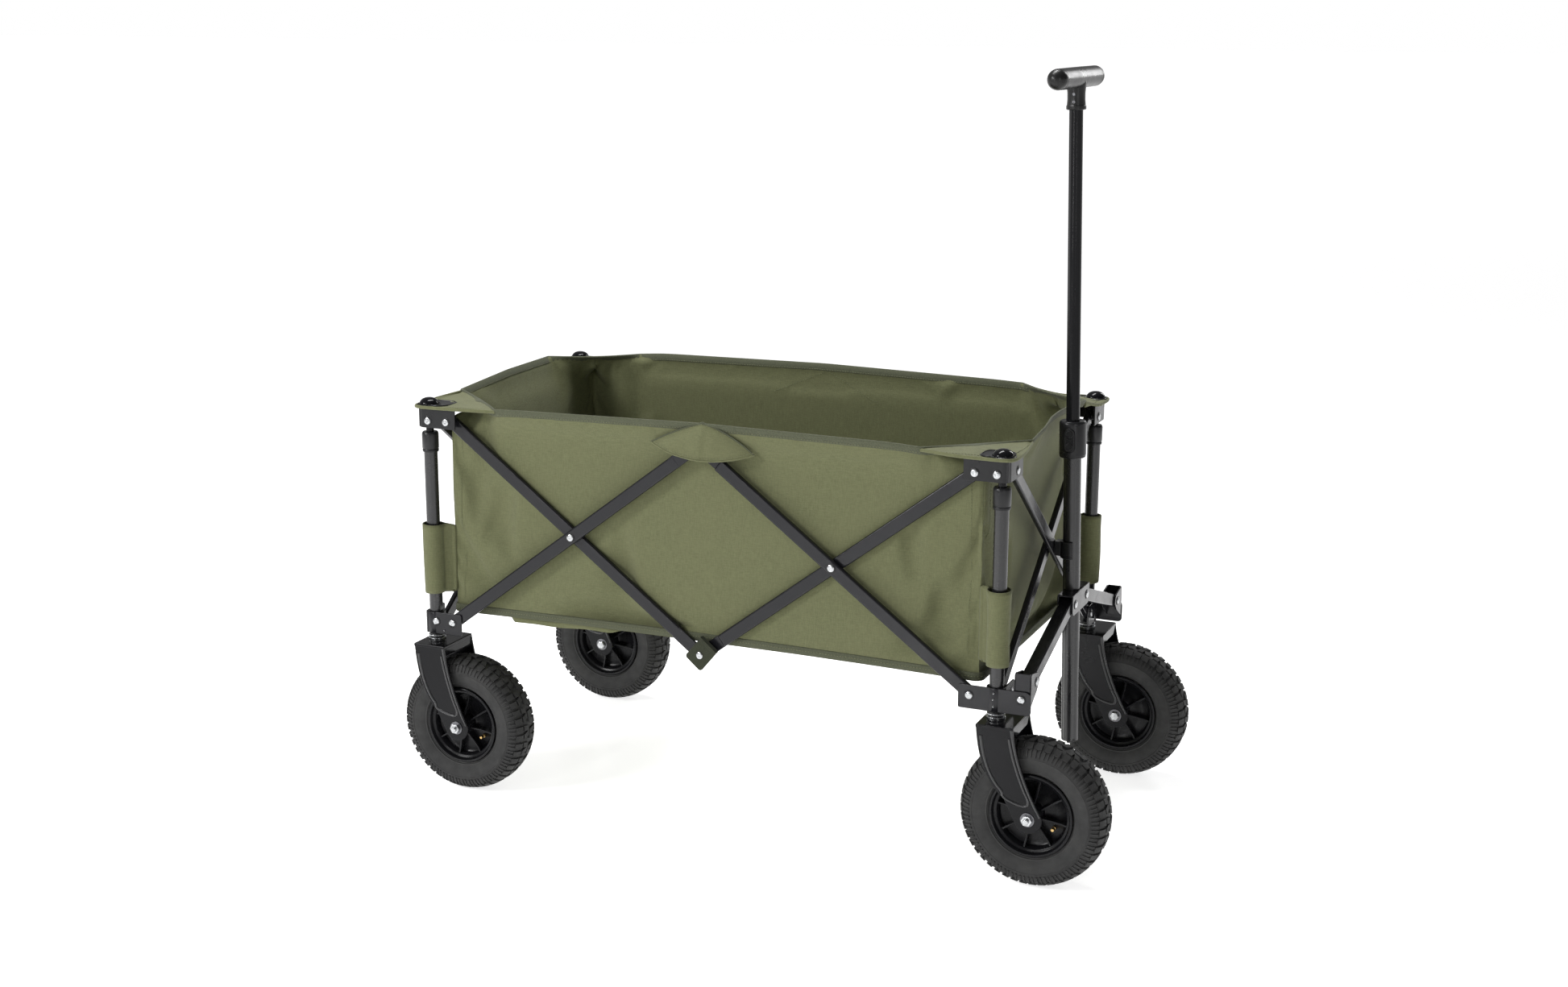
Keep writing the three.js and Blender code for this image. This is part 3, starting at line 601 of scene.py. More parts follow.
def bar_shape(start="plain", end="plain", disc=False):
    """Along +X from the start pivot, outer face at y = 0 and inner face at BAR_THICK."""
    half = BAR_HALF
    layers = {
        "outer": (TONGUE_SETBACK, HALF_LAYER),
        "inner": (BAR_THICK - HALF_LAYER, BAR_THICK - TONGUE_SETBACK),
    }
    x0 = 0.0 if start == "plain" else TONGUE
    x1 = BAR_LENGTH if end == "plain" else BAR_LENGTH - TONGUE
    outline = stadium(x0, x1, half)
    if start != "plain":
        outline = [p for p in outline if p[0] > x0 + 0.01] + [(x0, half), (x0, -half)]
    if end != "plain":
        outline = [(x1, -half), (x1, half)] + [p for p in outline if p[0] < x1 - 0.01]
    bar = prism(outline, 0.0, BAR_THICK, "y")
    tongues = []
    if start != "plain":
        tongues.append(prism(stadium(0.0, x0 + 6.0, half), *layers[start], "y"))
    if end != "plain":
        tongues.append(prism(stadium(x1 - 6.0, BAR_LENGTH, half), *layers[end], "y"))
    if disc:
        tongues.append(moved(lathe([(15.0, -0.6), (15.0, HALF_LAYER)], 36, "y"), BAR_LENGTH))
    return bar, tongues


def lay(s, low_x, low_z, rising, face, sy):
    """A bar into the side plane of the right side, then to its own side."""
    s = rotated(s, "y", -BAR_ANGLE if rising else BAR_ANGLE)
    return mirrored(moved(s, low_x, face, low_z), 1, sy)


SIDE_BARS = {
    "rear_low": (("plain", "outer", False), -SIDE_REACH, LOW_Z, True, SIDE_OUTER),
    "rear_high": (("plain", "outer", True), -SIDE_REACH, TOP_Z, False, SIDE_INNER),
    "front_low": (("inner", "plain", False), 0.0, TOP_Z, False, SIDE_OUTER),
    "front_high": (("inner", "plain", False), 0.0, LOW_Z, True, SIDE_INNER),
}
MID_Z = (LOW_Z + TOP_Z) / 2

for side, sy in SIDES.items():
    for name, (kind, x, z, rising, face) in SIDE_BARS.items():
        body = f"bar_{name}_{side}"
        main, tongues = bar_shape(*kind)
        piece(
            f"strut_{name}_{side}", lay(main, x, z, rising, face, sy), "powder", body,
            f"side_bar_{name}_{side}", bevel=2.9, segments=4,
        )
        if tongues:
            piece(
                f"strut_end_{name}_{side}", lay(join(*tongues), x, z, rising, face, sy), "powder", body,
                bevel=1.0, segments=3,
            )
    stud(f"bar_rear_low_{side}", "y", (-SIDE_REACH / 2, sy * SIDE_OUTER, MID_Z), -sy)
    stud(f"bar_front_low_{side}", "y", (SIDE_REACH / 2, sy * SIDE_OUTER, MID_Z), -sy)
    stud(f"bar_rear_low_{side}", "y", (0.0, sy * SIDE_OUTER, TOP_Z), -sy)
    stud(f"bar_rear_high_{side}", "y", (0.0, sy * (SIDE_INNER - 2.3), LOW_Z), -sy, ring=False)
    face = SIDE_INNER - 0.7
    latch = prism(rounded(-17.0, 17.0, -19.0, 23.0, [5, 5, 3, 3], 4), face - 1.6, face, "y")
    fold = prism([(-17.0, 22.0), (-17.0, 27.5), (17.0, 27.5), (17.0, 22.0)], face - 9.0, face + 0.2, "y")
    for part, name in ((latch, "hinge_tab"), (fold, "hinge_tab_fold")):
        part = moved(rotated(part, "y", math.radians(40)), 0, 0, LOW_Z)
        piece(f"{name}_{side}", mirrored(part, 1, sy), "tab", f"bar_rear_high_{side}", bevel=0.7)

for end, sx in (("front", 1), ("rear", -1)):
    for layer, face in (("outer", END_OUTER), ("inner", END_INNER)):
        s, _ = bar_shape()
        falling = layer == "outer"
        s = rotated(s, "y", BAR_ANGLE if falling else -BAR_ANGLE)
        s = rotated(s, "z", math.pi / 2)
        s = moved(s, face, -END_REACH, TOP_Z if falling else LOW_Z)
        if end == "rear":
            s = mirrored(s, -1, 1)
        piece(
            f"cross_{layer}_{end}", s, "powder", f"end_{layer}_{end}", f"end_bar_{layer}_{end}",
            bevel=2.9, segments=4,
        )
    stud(f"end_outer_{end}", "x", (sx * END_OUTER, 0.0, MID_Z), sx)

# ---------------------------------------------------------------- forks


def quad(a, b, c, n=10):
    t = np.linspace(0, 1, n + 1)[:, None]
    a, b, c = (np.asarray(p, float) for p in (a, b, c))
    return (1 - t) ** 2 * a + 2 * t * (1 - t) * b + t * t * c


def inset(path, distance):
    """A line beside a path in its own plane, on the left of its direction."""
    d = np.gradient(path, axis=0)
    d /= np.linalg.norm(d, axis=1)[:, None]
    return path + distance * np.column_stack([-d[:, 1], d[:, 0]])


RIDGE_R, HUB_FACE, NUT_R = 2.3, 34.8, 8.2


def fork_pieces(corner, x, trail, sy, body):
    top = CROWN_Z - 2.5
    rear = quad((-17, top), (-12, 165), (trail - 36, AXLE_Z + 26))
    eye = arc(trail, AXLE_Z, 21.0, 220.5, 378, 16)
    front = quad(eye[-1], (46, 180), (38, top))
    outline = [tuple(p) for p in rear] + eye + [tuple(p) for p in front[1:]]
    outer, inner = -FORK_HALF, -FORK_HALF + FORK_SHEET
    leg = prism(outline, outer, inner, "y")
    ridge_front = inset(front, 7.5)[::-1][1:9]
    ridge_rear = inset(rear, 6.5)[1:10]
    turn_low = ridge_front[-1] + np.array([-2.5, -9.0])
    bottom = (turn_low + ridge_rear[-1] + np.array([3.0, -8.0])) / 2 + np.array([0.0, -2.5])
    turn_rear = ridge_rear[-1] + np.array([3.0, -8.0])
    line = smooth_path(np.vstack([ridge_front, [turn_low], [bottom], [turn_rear], ridge_rear[::-1]]), 3)
    path = np.column_stack([line[:, 0], np.full(len(line), outer + 0.5), line[:, 1]])
    ridge = sweep(path, circle(RIDGE_R, 12), up=(0, 1, 0))
    lip = inset(front, 2.4)
    lip = np.column_stack([lip[:, 0], np.full(len(lip), outer + 0.2), lip[:, 1]])
    ridge = join(ridge, sweep(lip, circle(RIDGE_R, 12), up=(0, 1, 0)))
    crown = block(-17.4, 38.4, outer - 0.4, -outer + 0.4, CROWN_Z - 5.2, CROWN_Z)
    flange = prism(rounded(-38.0, 38.0, 224.0, 238.0, [5, 5, 0, 0]), 35.2, 37.8, "x")
    spread = lambda s: mirrored(moved(s, x, -POST_Y), 1, sy)
    legs = spread(join(leg, mirrored(leg, 1, -1)))
    piece(f"fork_legs_{corner}", legs, "gloss", body, f"fork_{corner}", bevel=1.35, segments=4)
    piece(f"fork_crown_{corner}", spread(join(crown, flange)), "gloss", body, bevel=2.5, segments=4)
    spans = (inner - 0.5, -HUB_FACE), (HUB_FACE, 0.5 - inner)
    bosses = [boss("y", *span, trail, AXLE_Z, 10.0) for span in spans]
    neck = lathe([(11.5, CROWN_Z - 1), (11.5, 249.7)], 28)
    ridges = spread(join(ridge, mirrored(ridge, 1, -1), neck, *bosses))
    # The ridges, neck and axle bosses take the tube paint, lighter and shinier than the legs' gloss paint. Its
    # lighter tone is a painted highlight along the fork's raised edges; its extra shine is real specular.
    piece(f"fork_ridge_{corner}", ridges, "tube", body)
    races = [
        lathe([(12.0, CROWN_Z - 0.5), (14.2, CROWN_Z), (14.2, CROWN_Z + 2.2), (12.0, CROWN_Z + 2.8)], 32),
        lathe([(11.8, 245.6), (13.4, 246.0), (13.4, 248.0), (11.8, 248.4)], 32),
    ]
    hexagon = [(NUT_R * math.cos(a), NUT_R * math.sin(a)) for a in np.linspace(0, 2 * math.pi, 7)[:-1]]
    nut = prism(hexagon, -47.4, -41.8, "y")
    end = toward(lathe([(4.3, 0), (4.3, 3.4), (3.4, 4.4), (0.02, 4.6)], 20, "y"), "y", -1, (0, -47.0, 0))
    head = toward(lathe([(8.0, 0), (8.0, 3.6), (6.6, 5.2), (0.02, 5.6)], 6, "y"), "y", 1, (0, 41.6, 0))
    metal = [moved(s, trail, 0, AXLE_Z) for s in (nut, end, head)]
    piece(f"axle_nuts_{corner}", spread(join(*metal, *races)), "zinc", body, bevel=0.6)
    washers = [boss("y", -42.2, -40.8, trail, AXLE_Z, 10.5), boss("y", 40.8, 42.0, trail, AXLE_Z, 10.5)]
    axle = boss("y", -36.0, 36.0, trail, AXLE_Z, 5.0)
    piece(f"axle_{corner}", spread(join(axle, *washers)), "steel", body, bevel=0.4)


# ---------------------------------------------------------------- wheels

TREAD_PITCH = 48
SIDEWALL = [
    (60.5, -18.5), (61.2, -21.5), (63.0, -24.0), (64.4, -24.6), (65.1, -26.0), (66.3, -26.4), (67.2, -26.2),
    (70.5, -28.0), (76.0, -29.9), (81.0, -30.7), (85.6, -31.0), (86.1, -31.5), (87.0, -31.5), (87.5, -31.0),
    (92.0, -30.4),
    (96.5, -28.6), (100.3, -25.2), (103.2, -20.6), (105.0, -15.0), (106.0, -8.0), (106.3, 0.0),
]


def tyre_shape():
    profile = SIDEWALL + [(r, -y) for r, y in SIDEWALL[-2::-1]]
    bore = [(60.5, 12.0), (60.5, -12.0)]
    carcass = lathe(profile + bore, 120, "y", closed=True)
    line = np.array([p for p in SIDEWALL if p[0] > 87.4])
    steps = distances(line)

    def on_skin(s, lift):
        """A point of the carcass at a distance along its skin from the lugs' inner ends."""
        p = np.array([np.interp(s, steps, line[:, k]) for k in (0, 1)])
        q = np.array([np.interp(s + 0.5, steps, line[:, k]) for k in (0, 1)])
        o = np.array([np.interp(s - 0.5, steps, line[:, k]) for k in (0, 1)])
        d = (q - o) / np.linalg.norm(q - o)
        return p + lift * np.array([-d[1], d[0]]) * (1 if -d[1] * p[0] + d[0] * p[1] > 0 else -1)

    def lug(s0, s1, a0, a1, lift, skew=0.0, rows=4):
        verts, faces = [], []
        for k in range(rows + 1):
            t = k / rows
            taper = 0.35 if k in (0, rows) else 0.0
            s_top = s0 + (s1 - s0) * t + (taper if k == 0 else -taper)
            for edge, a in ((1, a0), (-1, a1)):
                for depth in (-0.8, lift):
                    r, y = on_skin(s0 + (s1 - s0) * t if depth < 0 else s_top, depth)
                    angle = math.radians(a + skew * t + (edge * 0.2 if depth > 0 else 0.0))
                    verts.append((r * math.cos(angle), y, r * math.sin(angle)))
        for k in range(rows):
            b, n = 4 * k, 4 * (k + 1)
            faces += [(b + 1, n + 1, n + 3, b + 3), (b, n, n + 1, b + 1)]
            faces += [(b + 3, n + 3, n + 2, b + 2), (b, b + 2, n + 2, n)]
        faces += [(0, 1, 3, 2), (4 * rows, 4 * rows + 2, 4 * rows + 3, 4 * rows + 1)]
        return shape(verts, faces)

    total = steps[-1]
    pitch = 360.0 / TREAD_PITCH
    shoulder = total - 19.0
    blocks = []
    for i in range(TREAD_PITCH):
        a = i * pitch
        blocks.append(lug(2.5, shoulder - 8, a, a + 1.7, 1.5))
        blocks.append(lug(2.5, shoulder - 8, a + 3.4, a + 5.1, 1.5))
        blocks.append(lug(shoulder - 8.0, shoulder + 4.5, a - 0.1, a + 5.2, 2.7, rows=5))
        skew = 2.6 if i % 2 else -1.2
        blocks.append(lug(shoulder + 6.4, total - 1.0, a + 0.6, a + 5.4, 2.95, skew, rows=3))
    half = join(*blocks)
    other = mirrored(rotated(half, "y", math.radians(pitch / 2)), 1, -1)
    return join(carcass, half, other)


def outward_faces(s):
    """Turns every face of a closed shape outward."""
    mesh = bpy.data.meshes.new("turned")
    mesh.from_pydata(s[0].tolist(), [], s[1])
    b = bmesh.new()
    b.from_mesh(mesh)
    bmesh.ops.recalc_face_normals(b, faces=b.faces)
    b.verts.index_update()
    result = np.array([v.co for v in b.verts]), [tuple(v.index for v in f.verts) for f in b.faces]
    b.free()
    bpy.data.meshes.remove(mesh)
    return result


def rim_shape():
    half = [
        (17.0, -33.6), (16.8, -9.0), (19.0, -7.4), (46.0, -6.4), (49.6, -9.0), (51.6, -19.5), (52.8, -20.6),
        (55.2, -21.0), (56.2, -22.0), (57.0, -25.6), (58.2, -27.0), (60.2, -27.2), (61.4, -26.4),
        (61.6, -24.8), (60.0, -22.0), (59.6, -17.0),
    ]
    profile = [(5.5, -34.0), (14.5, -34.0), *half]
    bowl = lathe(profile + [(r, -y) for r, y in profile[::-1]], 96, "y", closed=True)
    ribs = []
    edge = [(15.5, -23.0), (30.0, -19.5), (44.0, -17.8), (52.5, -19.0)]
    rib = prism(edge + [(r, -y) for r, y in edge[::-1]], -1.5, 1.5)
    for i in range(8):
        ribs.append(rotated(rib, "y", i * math.pi / 4 + 0.2))
    return outward_faces(bowl), join(*ribs)


def wheel_pieces(corner, x, trail, sy):
    body = f"wheel_{corner}"
    stand = lambda s: mirrored(moved(s, x + trail, -POST_Y, AXLE_Z), 1, sy)
    piece(f"tyre_tread_{corner}", stand(tyre), "rubber", body, f"tyre_{corner}", angle=38)
    piece(f"rim_bowl_{corner}", stand(rim_bowl), "rim", body, f"rim_{corner}", angle=40)
    piece(f"rim_ribs_{corner}", stand(rim_ribs), "rim", body, bevel=0.7)
    hub = lathe([(9.5, -34.6), (13.2, -34.6), (13.2, -33.0), (9.5, -33.0)], 40, "y", closed=True)
    piece(f"hub_ring_{corner}", stand(outward_faces(hub)), "plastic", body, bevel=0.3)
    valve = lathe([(3.2, 0), (3.2, 6), (2.4, 6.6), (2.4, 13), (1.6, 13.6), (0.02, 13.8)], 16, "y")
    valve = rotated(toward(valve, "y", -1, (36, -5.5, 0)), "y", math.radians(32))
    piece(f"valve_{corner}", stand(valve), "brass", body)


tyre = tyre_shape()
rim_bowl, rim_ribs = rim_shape()
for corner, (sx, sy) in CORNERS.items():
    front = corner[0] == "f"
    trail = FRONT_TRAIL if front else REAR_TRAIL
    fork_pieces(corner, sx * POST_X, trail, sy, f"caster_{corner}" if front else f"base_{corner}")
    wheel_pieces(corner, sx * POST_X, trail, sy)

# ---------------------------------------------------------------- pull handle

POLE_LOW, POLE_TOP, INNER_LOW, INNER_TOP = -141.0, 321.0, 303.0, 846.0


def fluted(r, depth, flutes, width, seg):
    """Outline of a tube with shallow grooves along it, facing fore and aft and to the sides."""
    points = []
    for k in range(seg):
        a = 2 * math.pi * k / seg
        groove = sum(math.exp(-(((a - f + math.pi) % (2 * math.pi) - math.pi) / width) ** 2) for f in flutes)
        points.append(((r - depth * groove) * math.cos(a), (r - depth * groove) * math.sin(a)))
    return points


def tube_prism(outer, bore, low, high):
    n = len(outer)
    inner = [(bore * math.cos(2 * math.pi * k / n), bore * math.sin(2 * math.pi * k / n)) for k in range(n)]
    verts = [(*p, z) for ring, z in ((inner, low), (outer, low), (outer, high), (inner, high)) for p in ring]
    return shape(verts, grid_faces(4, n, True, True))


diagonals = [math.radians(45 + 90 * k) for k in range(4)]
pole = tube_prism(fluted(13.0, 1.1, diagonals, 0.2, 96), 10.8, POLE_LOW, POLE_TOP)
plug = lathe([(10.6, POLE_LOW - 0.8), (12.6, POLE_LOW - 0.8), (12.6, POLE_LOW + 3.0)], 40)
x0, x1 = ARM_X - ARM_WIDE / 2 - CLEAR - PLATE, ARM_X + ARM_WIDE / 2 + CLEAR + PLATE
z0, z1 = HUB_Z - 16, HUB_Z + 16
plates = [prism(rounded(-46, 46, z0, z1, [9, 9, 3, 3]), a, a + PLATE, "x") for a in (x0, x1 - PLATE)]
half_roof = block(x0 + 0.4, x1 - 0.4, -45.6, -11.4, z1 - PLATE, z1)
piece("pole_tube", lean(pole), "tube", "pole", "pole_outer", angle=24)
piece("pole_foot", lean(plug), "plastic", "pole", bevel=0.4)
channel = join(*plates, half_roof, mirrored(half_roof, 1, -1))
piece("pole_channel", channel, "powder", "pole", bevel=0.9, segments=3)
for y in (-HUB_Y, HUB_Y):
    stud("pole", "x", (x1, y, HUB_Z), 1)

# the two halves' button pocket faces the right side
CLAMP = [
    (13.3, 300.0), (18.2, 300.0), (19.4, 301.2), (19.4, 303.6), (20.0, 304.2), (20.0, 351.6), (19.4, 353.6),
    (18.0, 355.0), (11.6, 355.0), (10.6, 354.2), (10.6, 321.4), (13.3, 321.4),
]
BUTTON_UP = 328.0


def pill(width, height):
    """Outline of the button, across and along the pole."""
    r = width / 2
    rise = height / 2 - r
    return arc(0, BUTTON_UP + rise, r, 0, 180, 14) + arc(0, BUTTON_UP - rise, r, 180, 360, 14)


def carve(obj, cutter):
    """Cuts a shape out of a piece's mesh."""
    mesh = bpy.data.meshes.new("cutter")
    mesh.from_pydata(((cutter[0] + np.array([SHIFT, 0, 0])) * MM).tolist(), [], cutter[1])
    tool = bpy.data.objects.new("cutter", mesh)
    bpy.context.scene.collection.objects.link(tool)
    mod = obj.modifiers.new("Pocket", "BOOLEAN")
    mod.operation, mod.object, mod.solver = "DIFFERENCE", tool, "EXACT"
    graph = bpy.context.evaluated_depsgraph_get()
    result = bpy.data.meshes.new_from_object(obj.evaluated_get(graph))
    obj.modifiers.clear()
    obj.data = result
    obj.data.set_sharp_from_angle(angle=math.radians(40))
    bpy.data.objects.remove(tool)


clamp = lean(lathe(CLAMP, 56, closed=True))
socket = piece("pole_socket", clamp, "plastic", "pole", "pole_clamp", angle=40)
carve(socket, lean(outward_faces(prism(pill(17.2, 37.2), -24.0, -14.5, "y"))))
key = prism(pill(16.0, 36.0), -20.6, -17.0, "y")
dimple = lathe([(4.6, -21.0), (4.9, -20.4), (5.5, -20.4), (5.8, -21.0), (5.2, -21.5)], 28, "y", closed=True)
dimples = [moved(dimple, 0, 0, BUTTON_UP + z) for z in (-9.0, 9.0)]
bar = prism(rounded(-4.5, 4.5, -0.6, 0.6, 0.5), -21.4, -20.0, "y")
bars = [moved(bar, 0, 0, BUTTON_UP + z) for z in (-2.2, 0.0, 2.2)]
piece("release_key", lean(key), "plastic", "button", "pole_button", bevel=0.9, segments=3)
piece("release_key_grip", lean(join(*[outward_faces(d) for d in dimples], *bars)), "plastic", "button")

inner = tube_prism(fluted(10.0, 0.7, diagonals, 0.2, 80), 8.4, INNER_LOW, INNER_TOP)
piece("pole_slider", lean(inner), "gloss", "slider", "pole_inner", angle=24)
GRIP_BAR = [
    (0.02, -111.0), (4.5, -110.4), (8.6, -108.4), (12.0, -105.0), (14.2, -100.6), (15.0, -95.6), (15.0, -93.0),
    (14.5, -92.6), (14.5, -91.8), (15.0, -91.4), (15.1, -60.0), (15.2, -24.0),
]
STEM = [
    (10.5, 807.5), (13.6, 808.0), (14.4, 809.0), (14.4, 813.5), (13.6, 814.4), (13.0, 822.0), (13.0, 832.0),
    (13.8, 840.0), (14.6, 848.0), (12.0, 856.0),
]
grip_bar = lathe(GRIP_BAR + [(r, -y) for r, y in GRIP_BAR[::-1]], 48, "y")
grip = join(moved(grip_bar, 0, 0, 853.0), lathe(STEM, 44))
piece("grip_body", lean(outward_faces(grip)), "grip", "slider", "grip", angle=35)
screw = lathe([(2.2, -0.5), (2.2, 0.3), (1.4, 0.5), (0.02, 0.1)], 16, "y")
screws = [toward(screw, "y", -1, (0, -12.9, z)) for z in (819.0, 830.0)]
piece("grip_screws", lean(join(*screws, *[mirrored(s, 1, -1) for s in screws])), "steel", "slider")

ARM_LENGTH = math.hypot(YOKE_Y - HUB_Y, HUB_Z - YOKE_Z)
ARM_ANGLE = math.atan2(HUB_Z - YOKE_Z, YOKE_Y - HUB_Y)
for side, sy in SIDES.items():
    back = -OUTER_Y + PLATE + CLEAR
    nose = arc(4 - YOKE_Y, YOKE_Z + 2, 11.0, -50, 90, 6)
    cheek = [(back, 263.0), (-222.0, 281.0), *nose, (back + 4, 313.0), (back, 309.0)]
    walls = [prism(cheek, a, a + PLATE, "x") for a in (x0, x1 - PLATE)]
    spine = prism(rounded(x0, x1, 263.0, 313.0, [6, 6, 3, 3]), back, back + PLATE, "y")
    yoke = join(*walls, spine)
    piece(
        f"yoke_cheeks_{side}", mirrored(yoke, 1, sy), "powder", f"yoke_{side}", f"handle_yoke_{side}",
        bevel=0.8, segments=3,
    )
    stud(f"yoke_{side}", "x", (x1, -sy * YOKE_Y, YOKE_Z), 1)
    reach = ARM_LENGTH - 14.0 if side == "left" else ARM_LENGTH
    outline = stadium(0.0, reach, 10.0)
    if side == "left":
        outline = [(reach, -10.0), (reach, 10.0)] + [p for p in outline if p[0] < reach - 0.01]
    arm = prism(outline, -ARM_WIDE / 2, ARM_WIDE / 2, "x")
    arm = moved(rotated(arm, "x", ARM_ANGLE), ARM_X, -YOKE_Y, YOKE_Z)
    piece(
        f"arm_tube_{side}", mirrored(arm, 1, sy), "powder", f"arm_{side}", f"handle_arm_{side}",
        bevel=2.3, segments=4,
    )

up = MID_Z - TILT_Z
cuff = prism(arc(0, 0, 16.1, 68, 292, 28) + arc(0, 0, 13.4, 292, 68, 28), up - 13, up + 13)
lip_line = arc(0, 0, 17.2, 74, 286, 28) + arc(0, 0, 13.6, 286, 74, 28)
lips = [prism(lip_line, up + z, up + z + 3.2) for z in (-13.0, 9.8)]
base = block(END_OUTER + 1.0, TILT_X - 19.0, -9, 9, MID_Z - 11, MID_Z + 11)
clip = join(*[lean(s) for s in (cuff, *lips)], base)
piece("clip_body", clip, "plastic", "clip", "pole_clip", bevel=0.6)

# ---------------------------------------------------------------- bag

WALL_X, WALL_Y, WALL_R = 439.0, 232.2, 12.0
HEM_Z, HEM_BOW = 288.5, 5.0
# the walls lean out above a height that rises towards the corners
CORNER_REACH, CORNER_FLARE_Z = 110.0, 612.0
SIDE_COLUMNS, END_COLUMNS, CORNER_COLUMNS = 96, 50, 6
WALL_ROWS, FLARE_ROWS = 30, 8
# rim points, each a distance along its panel's middle line with how far it leans out and its height
RIM = {
    "right": [(-350, 14, 620), (-300, 14.5, 622), (0, 15, 628), (300, 14.5, 625), (350, 14, 622)],
    "front": [(-140, 38, 623.5), (-66, 36, 630), (-20, 31, 635), (20, 31, 637), (80, 35, 637), (140, 38, 634)],
    "left": [(-350, 9, 634), (-300, 9, 636), (0, 9, 641), (300, 9, 637), (350, 9, 633)],
    "rear": [(-140, 33, 636), (0, 30, 635), (140, 33, 625)],
}
PANELS = [
    ("right", (1, 0), (0, -1), WALL_X, WALL_Y, SIDE_COLUMNS),
    ("front", (0, 1), (1, 0), WALL_Y, WALL_X, END_COLUMNS),
    ("left", (-1, 0), (0, 1), WALL_X, WALL_Y, SIDE_COLUMNS),
    ("rear", (0, -1), (-1, 0), WALL_Y, WALL_X, END_COLUMNS),
]


def smooth_interp(x, xs, ys):
    """Through the points with no corners in between."""
    fine = np.linspace(xs[0], xs[-1], 400)
    line = np.interp(fine, xs, ys)
    window = np.hanning(41)
    window /= window.sum()
    padded = np.concatenate([2 * line[0] - line[20:0:-1], line, 2 * line[-1] - line[-2:-22:-1]])
    return np.interp(x, fine, np.convolve(padded, window, "valid"))


def wall_columns():
    """For each column of the bag's wall: its foot, the way it faces and its rim point. At a corner the rim
    cuts straight across from one panel to the next."""
    columns, seams, corners = [], [], []
    for name, along, out, half, face, count in PANELS:
        along, out = np.array(along, float), np.array(out, float)
        xs, leans, heights = zip(*RIM[name])
        for s in np.linspace(-(half - WALL_R), half - WALL_R, count):
            rim = None
            if xs[0] <= s <= xs[-1]:
                at = along * s + out * (face + smooth_interp(s, xs, leans))
                rim = np.array([*at, smooth_interp(s, xs, heights)])
            columns.append([along * s + out * face, out, rim])
        centre = along * (half - WALL_R) + out * (face - WALL_R)
        for k in range(1, CORNER_COLUMNS):
            a = k / CORNER_COLUMNS * math.pi / 2
            if k == CORNER_COLUMNS // 2:
                seams.append(len(columns))
            facing = out * math.cos(a) + along * math.sin(a)
            columns.append([centre + facing * WALL_R, facing, None])
    n = len(columns)
    for seam in seams:
        first, last = seam, seam
        while columns[first][2] is None:
            first -= 1
        while columns[last % n][2] is None:
            last += 1
        a, b = columns[first][2], columns[last % n][2]
        corners.append((first, last, a, b))
        feet = np.array([columns[c % n][0] for c in range(first, last + 1)])
        steps = distances(feet)
        inward = -columns[seam][1] * 5.0
        for c in range(first + 1, last):
            t = steps[c - first] / steps[-1]
            bow = math.sin(math.pi * t)
            point = a * (1 - t) + b * t + np.array([*inward, -1.5]) * bow
            columns[c % n][2] = point
    return columns, seams, corners


def bag_grid():
    """The wall's points, rows from the hem up to the rim, and how firmly each is held."""
    columns, seams, corners = wall_columns()
    rows = WALL_ROWS + FLARE_ROWS
    grid = np.zeros((rows + 1, len(columns), 3))
    held = np.zeros((rows + 1, len(columns)))
    for c, (at, facing, rim) in enumerate(columns):
        flare_z = np.interp(np.linalg.norm(rim[:2] - at), [5, 40], [592.0, 520.0])
        from_corner = abs(abs(at[0]) - WALL_X) + abs(abs(at[1]) - WALL_Y)
        near = min(from_corner, CORNER_REACH) / CORNER_REACH
        start_z = CORNER_FLARE_Z + (flare_z - CORNER_FLARE_Z) * near**0.7
        low = HEM_Z + HEM_BOW * (1 - min(1.0, abs(at[0]) / WALL_X) ** 2)
        for r in range(WALL_ROWS + 1):
            grid[r, c] = (*at, low + (start_z - low) * r / WALL_ROWS)
        control = np.array([*(at + (rim[:2] - at) * 0.3), start_z + 0.6 * (rim[2] - start_z)])
        for r in range(1, FLARE_ROWS + 1):
            t = r / FLARE_ROWS
            foot = np.array([*at, start_z])
            grid[WALL_ROWS + r, c] = (1 - t) ** 2 * foot + 2 * t * (1 - t) * control + t * t * rim
    held[0] = 1.0
    held[-2:] = 1.0
    for seam in seams:
        for k, grip in ((-1, 0.35), (0, 0.9), (1, 0.35)):
            c = (seam + k) % len(columns)
            held[:WALL_ROWS, c] = np.maximum(held[:WALL_ROWS, c], grip)
    return grid, held, seams, columns, corners


def ripple(p):
    """A small fixed unevenness that starts the folds."""
    x, y, z = p[..., 0], p[..., 1], p[..., 2]
    u = x + 0.7 * y
    return (
        np.sin(u * 0.021 + z * 0.013 + 1.0)
        + 0.7 * np.sin(u * 0.034 - z * 0.027 + 2.2)
        + 0.5 * np.sin(u * 0.011 + z * 0.041 + 0.4)
        + 0.4 * np.sin(u * 0.061 + z * 0.052)
    )


